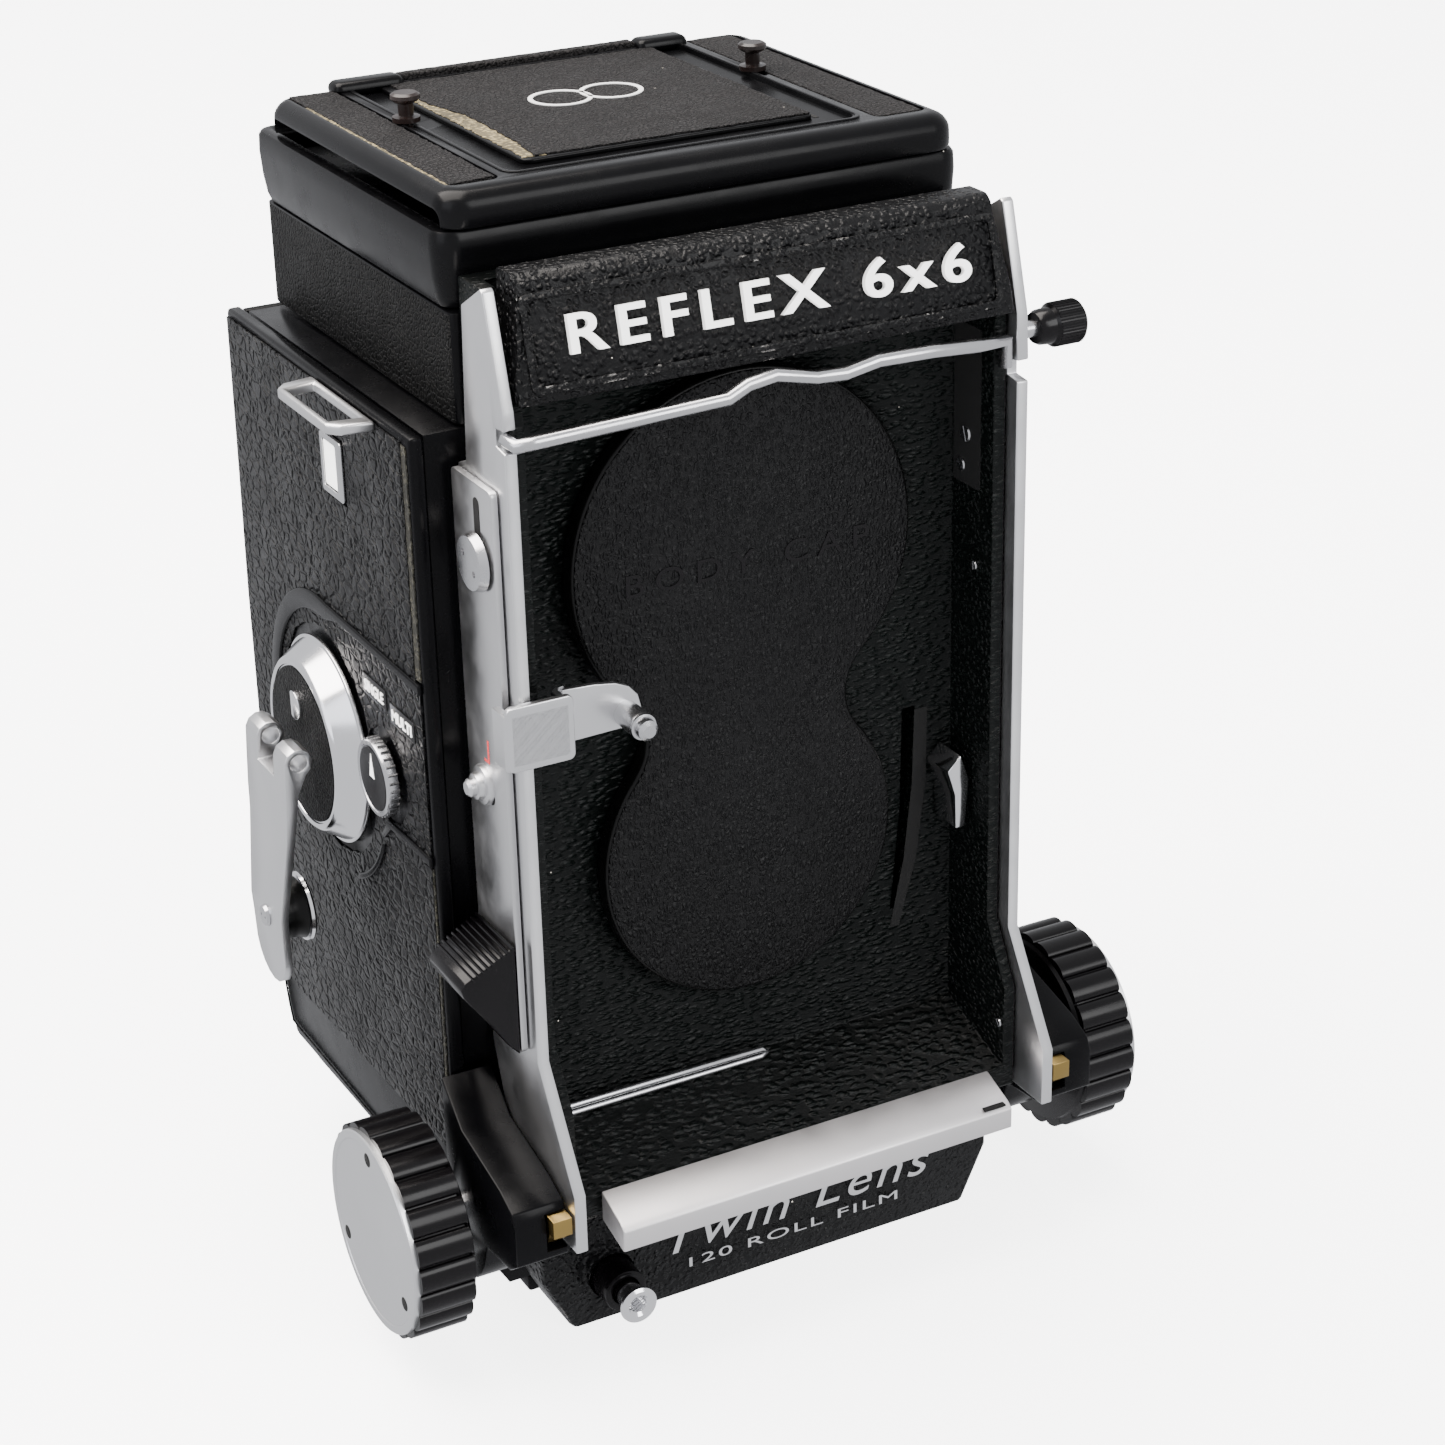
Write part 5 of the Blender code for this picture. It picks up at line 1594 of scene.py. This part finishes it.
# ---------------------------------------------------------------------------- hood
@dataclass
class Hood:
    """The folding hood: base, lid, studs, wings and magnifier."""

    shop: Workshop
    top: float = 168.0
    low: Pair = (-38.7, 16.6)
    high: Pair = (38.7, 79.4)

    def build(self) -> None:
        """Makes every piece of the hood."""
        self.base()
        self.lid()
        self.covering()
        self.inner_parts()

    def base(self) -> None:
        """The flared enamel band that the hood folds into."""
        low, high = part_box("hood_base")
        a, b = on_drawing(low), on_drawing(high)
        wall = [(1.2, a.z), (0.7, a.z + 1.2), (0.25, a.z + 4.0), (0.0, a.z + 7.4),
                (0.12, b.z - 0.7), (0.5, b.z - 0.15), (1.0, b.z), (2.0, b.z),
                (2.6, b.z - 0.3), (3.1, b.z - 1.0), (3.2, a.z + 1.7), (9.6, a.z + 1.5),
                (9.7, a.z)]
        rings = []
        for inset, z in wall:
            corner = max(0.6, 3.4 - inset)
            rings.append((rounded((a.x + inset, a.y + inset), (b.x - inset, b.y - inset),
                                  corner, 8), z))
        dress(loft("hood_band", rings), "camera_body", LID_ENAMEL, "hood_base")

    def lid(self) -> None:
        """The lid: a bead round its rim, wells for the leather and a sunk frame."""
        foot = on_drawing(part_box("hood_lid")[0]).z
        wall = [(0.15, foot), (0.0, foot + 0.5), (0.0, foot + 1.9)]
        bead = 2.7
        wall += [(bead - bead * math.cos(t), self.top - bead + bead * math.sin(t))
                 for t in (math.radians(a) for a in (15, 30, 45, 60, 75, 90))]
        inner = [(8.0, self.top), (8.0, self.top - 1.4), (3.4, self.top - 1.4),
                 (2.4, self.top - 2.2), (2.2, foot)]
        rings = []
        for inset, z in [*wall, *inner]:
            rings.append((rounded((self.low[0] + inset, self.low[1] + inset),
                                  (self.high[0] - inset, self.high[1] - inset),
                                  max(0.7, 4.2 - inset), 8), z))
        made = loft("lid_shell", rings)
        middle = slab("lid_middle", rounded((self.low[0] + 6, self.low[1] + 6),
                                            (self.high[0] - 6, self.high[1] - 6), 1.0),
                      "Z", self.top - 1.4, self.top)
        made = cut(made, middle, join=True)
        left = slab("left_well", rounded((-36.2, 20.6), (-28.6, 77.6), 1.5), "Z",
                    self.top - 0.5, self.top + 2, 0.0)
        right = slab("right_well", rounded((27.8, 20.8), (36.0, 77.6), 1.5), "Z",
                     self.top - 0.5, self.top + 2, 0.0)
        sunk = slab("frame_well", rounded((-26.6, 22.6), (26.0, 76.6), 2.2), "Z",
                    self.top - 0.75, self.top + 2, 0.0)
        slots = [slab(f"slot_cut_{i}", rounded((x - 0.95, 50.9), (x + 0.95, 56.0), 0.8),
                      "Z", 160, 172) for i, x in enumerate((-27.2, 27.2))]
        foot_z = foot + 2.4
        gaps = [slab(f"side_gap_{i}", rounded((19.0, foot - 1.0), (77.0, foot_z), 1.5),
                     "X", x0, x1) for i, (x0, x1) in enumerate(((-41.0, -35.5),
                                                               (35.5, 41.0)))]
        made = cut(made, left, right, sunk, *slots, *gaps)
        tidy(made, 0.01)
        dress(soften(made, 0.3, 2, 40), "hood_lid", LID_ENAMEL, "hood_lid")

    def covering(self) -> None:
        """Leatherette strips, the raised centre panel, its badge and the hinge caps."""
        body, top = "hood_lid", self.top
        # The lid's leatherette carries painted light: its colour is greyer for the light
        # falling from above.
        strips = (
            ("lid_leather_left", [(-35.7, 21.4), (-29.0, 22.2), (-29.0, 77.2),
                                  (-35.7, 77.2)], top + 0.02),
            ("lid_leather_right", [(28.3, 21.6), (35.4, 21.4), (35.4, 77.2),
                                   (28.3, 77.2)], top - 0.02),
        )
        for number, (name, outline, level) in enumerate(strips):
            dress(slab(name, ragged(outline, 0.14, 0.9, 11 + number), "Z", top - 0.52,
                       level, 0.1), body, TOPLIT_AGED_LEATHERETTE)
        panel = slab("lid_panel", rounded((-22.4, 27.2), (21.8, 76.4), 1.6), "Z",
                     top - 0.8, top - 0.05, 0.25)
        dress(panel, body, LID_ENAMEL)
        torn = [(-20.4, 28.2), (21.2, 27.8), (21.2, 75.6), (-20.8, 75.6), (-20.8, 62.0),
                (-19.0, 52.0), (-19.4, 36.0)]
        dress(slab("lid_leather_centre", ragged(torn, 0.18, 1.0, 21), "Z", top - 0.1,
                   top + 0.2, 0.08), body, TOPLIT_AGED_LEATHERETTE)
        crumbs = [(-21.9, 28.4), (-18.8, 28.0), (-19.2, 36.0), (-18.7, 52.0),
                  (-20.3, 66.0), (-21.7, 66.0)]
        dress(slab("lid_cement", ragged(crumbs, 0.25, 0.6, 31), "Z", top - 0.1,
                   top + 0.04), body, CEMENT)
        ridge = slab("lid_ridge", rounded((-27.3, 21.8), (26.7, 77.0), 2.4), "Z",
                     top - 0.1, top + 0.16, 0.12, [rounded((-26.7, 22.4), (26.1, 76.4),
                                                            2.0)])
        dress(ridge, body, LID_ENAMEL)
        line = ragged([(-36.1, 21.4), (-35.7, 21.4), (-35.7, 70.0), (-36.1, 70.0)], 0.1,
                      0.8, 51)
        dress(slab("lid_cement_line", line, "Z", top - 0.5, top - 0.06), body, CEMENT)
        # Painted shade: a black strip where the groove beside the centre panel is in shadow.
        groove = slab("lid_groove_shade", [(22.0, 28.0), (22.8, 28.0), (22.8, 75.4),
                                     (22.0, 75.4)], "Z", top - 0.78, top - 0.7)
        dress(groove, body, GAP_SHADE)
        for number, x in enumerate((-4.0, 4.0)):
            ring = slab(f"badge_ring_{number}", arc((x, 54.2), 4.6, 0, 352, 44), "Z",
                        top + 0.18, top + 0.34, 0.04, [arc((x, 54.2), 3.9, 0, 352, 44)])
            dress(ring, body, WHITE_PAINT)
        for name, x0, x1 in (("hinge_cap_left", -29.3, -18.5),
                             ("hinge_cap_right", 19.3, 27.6)):
            dress(block(name, (x0, 75.2, top - 1.0), (x1, 79.3, top + 1.3), 1.2, 5), body,
                  LID_ENAMEL)
        ribbon = slab("rear_leather", ragged([(-18.6, 77.2), (19.4, 77.2), (19.4, 79.3),
                                              (-18.6, 79.3)], 0.12, 0.8, 41), "Z",
                      top - 0.4, top + 0.95, 0.3)
        dress(ribbon, body, TOPLIT_AGED_LEATHERETTE)
        profile = [(0.0, 0.0), (1.6, 0.0), (2.05, -0.3), (2.1, -0.8), (1.7, -1.2),
                   (1.1, -1.5), (1.05, -3.2), (1.3, -3.3), (1.95, -3.35), (1.95, -4.0),
                   (0.85, -4.02), (0.85, -6.4), (0.0, -6.4)]
        for side in ("left", "right"):
            low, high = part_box(f"stud_{side}")
            middle, tip = on_drawing((low + high) / 2), on_drawing(high).z
            dress(lathe(f"catch_stud_{side}", profile, (0, 0, 1),
                        (middle.x, middle.y, tip), 32), f"stud_{side}", STUD,
                  f"stud_{side}")

    def inner_parts(self) -> None:
        """The wings and the magnifier, folded under the lid."""
        for side in ("left", "right", "rear"):
            node = f"hood_wing_{side}"
            dress(refined(node, f"wing_{side}", 0.1), node, ENAMEL, node)
        dress(refined("magnifier_frame", "magnifier_plate", 0.15), "magnifier", ENAMEL,
              "magnifier_frame")
        dress(refined("magnifier_lens", "magnifier_glass", 0.0), "magnifier", GLASS,
              "magnifier_lens")


# ---------------------------------------------------------------------------- latches
@dataclass
class Latches:
    """The lens wire with its lock knob, the cocking lever and the film door."""

    shop: Workshop

    def build(self) -> None:
        """Makes every latch and lever."""
        dress(refined("lens_wire", "spring_wire", 0.0, 50), "lens_wire", STEEL,
              "lens_wire")
        self.lock_knob()
        dress(refined("cocking_lever", "cocking_hook", 0.2), "cocking_lever", CHROME,
              "cocking_lever")
        self.door()
        self.spool_knobs()

    def lock_knob(self) -> None:
        """The knurled knob that locks the wire."""
        low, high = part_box("lock_knob")
        middle = on_drawing((low + high) / 2)
        end, reach = on_drawing(high).x, on_drawing(high).z - middle.z
        centre = (end, middle.y, middle.z)
        profile = [(0.0, 0.0), (reach - 0.6, 0.0), (reach - 0.1, -0.4),
                   (reach - 0.08, -4.6), (reach - 0.3, -4.8), (reach * 0.84, -5.0),
                   (reach * 0.8, -6.7), (reach * 0.7, -7.3), (1.6, -7.4), (0.0, -7.4)]
        dress(lathe("lock_knob_core", profile, (1, 0, 0), centre, 48), "lock_knob",
              ANODISED, "lock_knob")
        dress(lathe("lock_screw", [(0.0, -7.3), (1.2, -7.3), (1.2, -10.8), (0.0, -10.8)],
                    (1, 0, 0), centre, 24), "lock_knob", STEEL)
        knurl = self.shop.ribs.around("lock_knurl", ANODISED, (1, 0, 0),
                                      (end - 2.5, middle.y, middle.z), 40, reach - 0.12,
                                      0.3, 0.34, 4.0, 6)
        dress(knurl, "lock_knob", ANODISED)

    def door(self) -> None:
        """The film door, leather outside, with its latch."""
        made = dress(refined("back_door", "film_door", 0.3), "back_door", ENAMEL,
                     "back_door")
        paint(made, LEATHERETTE, lambda p, n: n.y > 0.3 and p.y > 60 and p.z > 6.0)
        dress(refined("door_latch", "latch_slide", 0.2), "door_latch", ANODISED,
              "door_latch")
        ridges = self.shop.ridges.lay(
            "latch_ridges", ANODISED,
            Matrix.Translation(at((-6.0, 87.1, 127.5))), 13, 1.0, 0.5, 0.3, 6.5)
        dress(ridges, "door_latch", ANODISED)

    def spool_knobs(self) -> None:
        """The two pull-out knobs on the plain side."""
        for end in ("upper", "lower"):
            node = f"spool_knob_{end}"
            low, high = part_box(node)
            middle = on_drawing((low + high) / 2)
            outer = on_drawing(high).x
            dress(refined(node, f"pull_knob_{end}", 0.15, 24), node, ANODISED, node)
            ribs = self.shop.ribs.around(f"pull_knurl_{end}", ANODISED, (1, 0, 0),
                                         (outer - 2.8, middle.y, middle.z), 48, 6.35, 0.5,
                                         0.5, 4.0, 6)
            dress(ribs, node, ANODISED)


# ---------------------------------------------------------------------------- hidden
HIDDEN = {
    "film_gate": ANODISED, "mirror": SILVERED, "focusing_screen": GROUND_GLASS,
    "focus_axle": STEEL, "pinion_left": BRASS, "pinion_right": BRASS,
    "crank_gear": BRASS, "take_up_gear": BRASS, "take_up_spool": PLASTIC,
    "supply_spool": PLASTIC, "pressure_plate": STEEL,
}


def dress_hidden() -> None:
    """Gives the frame's own inner parts their finishes."""
    for node, finish in HIDDEN.items():
        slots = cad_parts[node].data.materials
        slots.clear()
        slots.append(finish.material())
        LOG.info("%s is finished in %s", node, finish.name)


# ---------------------------------------------------------------------------- studio
@dataclass
class Studio:
    """The floor, the lights and the camera."""

    eye: Triple = (-190.9, -344.1, 274.4)
    yaw: float = 27.82
    pitch: float = -24.84
    roll: float = -1.43
    lens: float = 78.64

    def build(self) -> None:
        """Sets up the studio."""
        self.floor()
        self.lights()
        self.camera()

    def floor(self) -> None:
        """A pale paper sweep that the camera stands on."""
        build = bmesh.new()
        bmesh.ops.create_grid(build, x_segments=24, y_segments=24, size=3.0)
        for vertex in build.verts:
            rise = max(0.0, vertex.co.y - 1.6)
            vertex.co.z = rise ** 2 * 0.9
        mesh = bpy.data.meshes.new("paper_sweep")
        build.to_mesh(mesh)
        build.free()
        floor = link("paper_sweep", mesh)
        floor.visible_glossy = False
        made = bpy.data.materials.new("matt_white_paper")
        made.use_nodes = True
        tree = made.node_tree
        shader = tree.nodes["Principled BSDF"]
        place = add_node(tree, "ShaderNodeTexCoord").outputs["Object"]
        fibre = add_node(tree, "ShaderNodeTexNoise", {
            "Vector": place, "Scale": 900.0, "Detail": 2.0})
        tone = add_node(tree, "ShaderNodeMapRange", {
            "Value": fibre.outputs["Fac"], "To Min": 0.93, "To Max": 0.97})
        tint = add_node(tree, "ShaderNodeVectorMath", {
            0: linear("#fbfbfd")[:3], "Scale": tone.outputs["Result"]}, operation="SCALE")
        tree.links.new(tint.outputs["Vector"], shader.inputs["Base Color"])
        shader.inputs["Roughness"].default_value = 0.6
        shader.inputs["Emission Color"].default_value = linear("#ffffff")
        shader.inputs["Emission Strength"].default_value = 4.4
        mesh.materials.append(made)
        shade(floor, 60)

    def lights(self) -> None:
        """A bright even room, a wide softbox above and weaker fills."""
        world = bpy.data.worlds.new("studio_room")
        bpy.context.scene.world = world
        world.use_nodes = True
        room = world.node_tree.nodes["Background"]
        room.inputs["Color"].default_value = linear("#f6f7fb")
        room.inputs["Strength"].default_value = 1.0
        for name, place, aim_at, size, power, tint in (
                ("softbox_above", (-0.35, 0.25, 1.25), (0, 0, 0.08), 1.3, 62, "#fff8f2"),
                ("softbox_left", (-1.25, -0.35, 0.75), (0, 0, 0.08), 0.9, 5, "#f4f6ff"),
                ("softbox_front", (0.55, -1.35, 0.9), (0, 0, 0.08), 0.9, 16, "#ffffff")):
            light = bpy.data.lights.new(name, "AREA")
            light.shape = "SQUARE"
            light.size = size
            light.energy = power
            light.color = linear(tint)[:3]
            lamp = bpy.data.objects.new(name, light)
            lamp.location = place
            toward = Vector(aim_at) - Vector(place)
            lamp.rotation_euler = toward.to_track_quat("-Z", "Y").to_euler()
            bpy.context.scene.collection.objects.link(lamp)

    def camera(self) -> None:
        """A long lens a little above the hood, turned in from the left."""
        yaw, pitch, roll = (math.radians(a) for a in (self.yaw, self.pitch, self.roll))
        ahead = Vector((math.sin(yaw) * math.cos(pitch), math.cos(yaw) * math.cos(pitch),
                        math.sin(pitch)))
        level = Vector((math.cos(yaw), -math.sin(yaw), 0.0))
        above = level.cross(ahead)
        right = math.cos(roll) * level + math.sin(roll) * above
        up = math.cos(roll) * above - math.sin(roll) * level
        data = bpy.data.cameras.new("view_camera")
        data.sensor_width = 36.0
        data.lens = self.lens
        data.clip_start, data.clip_end = 0.01, 20.0
        camera = bpy.data.objects.new("view_camera", data)
        turn = Matrix((right, up, -ahead)).transposed().to_4x4()
        camera.matrix_world = Matrix.Translation(at(self.eye)) @ turn
        bpy.context.scene.collection.objects.link(camera)
        bpy.context.scene.camera = camera


def main() -> None:
    """Builds the camera's looks, then the studio."""
    logging.basicConfig(level=logging.INFO, format="%(message)s")
    shop = Workshop()
    for part in (Body, FrontStandard, ReleaseGear, Crank, FocusDrive, Hood, Latches):
        part(shop).build()
    dress_hidden()
    Studio().build()


if __name__ == "__main__":
    main()
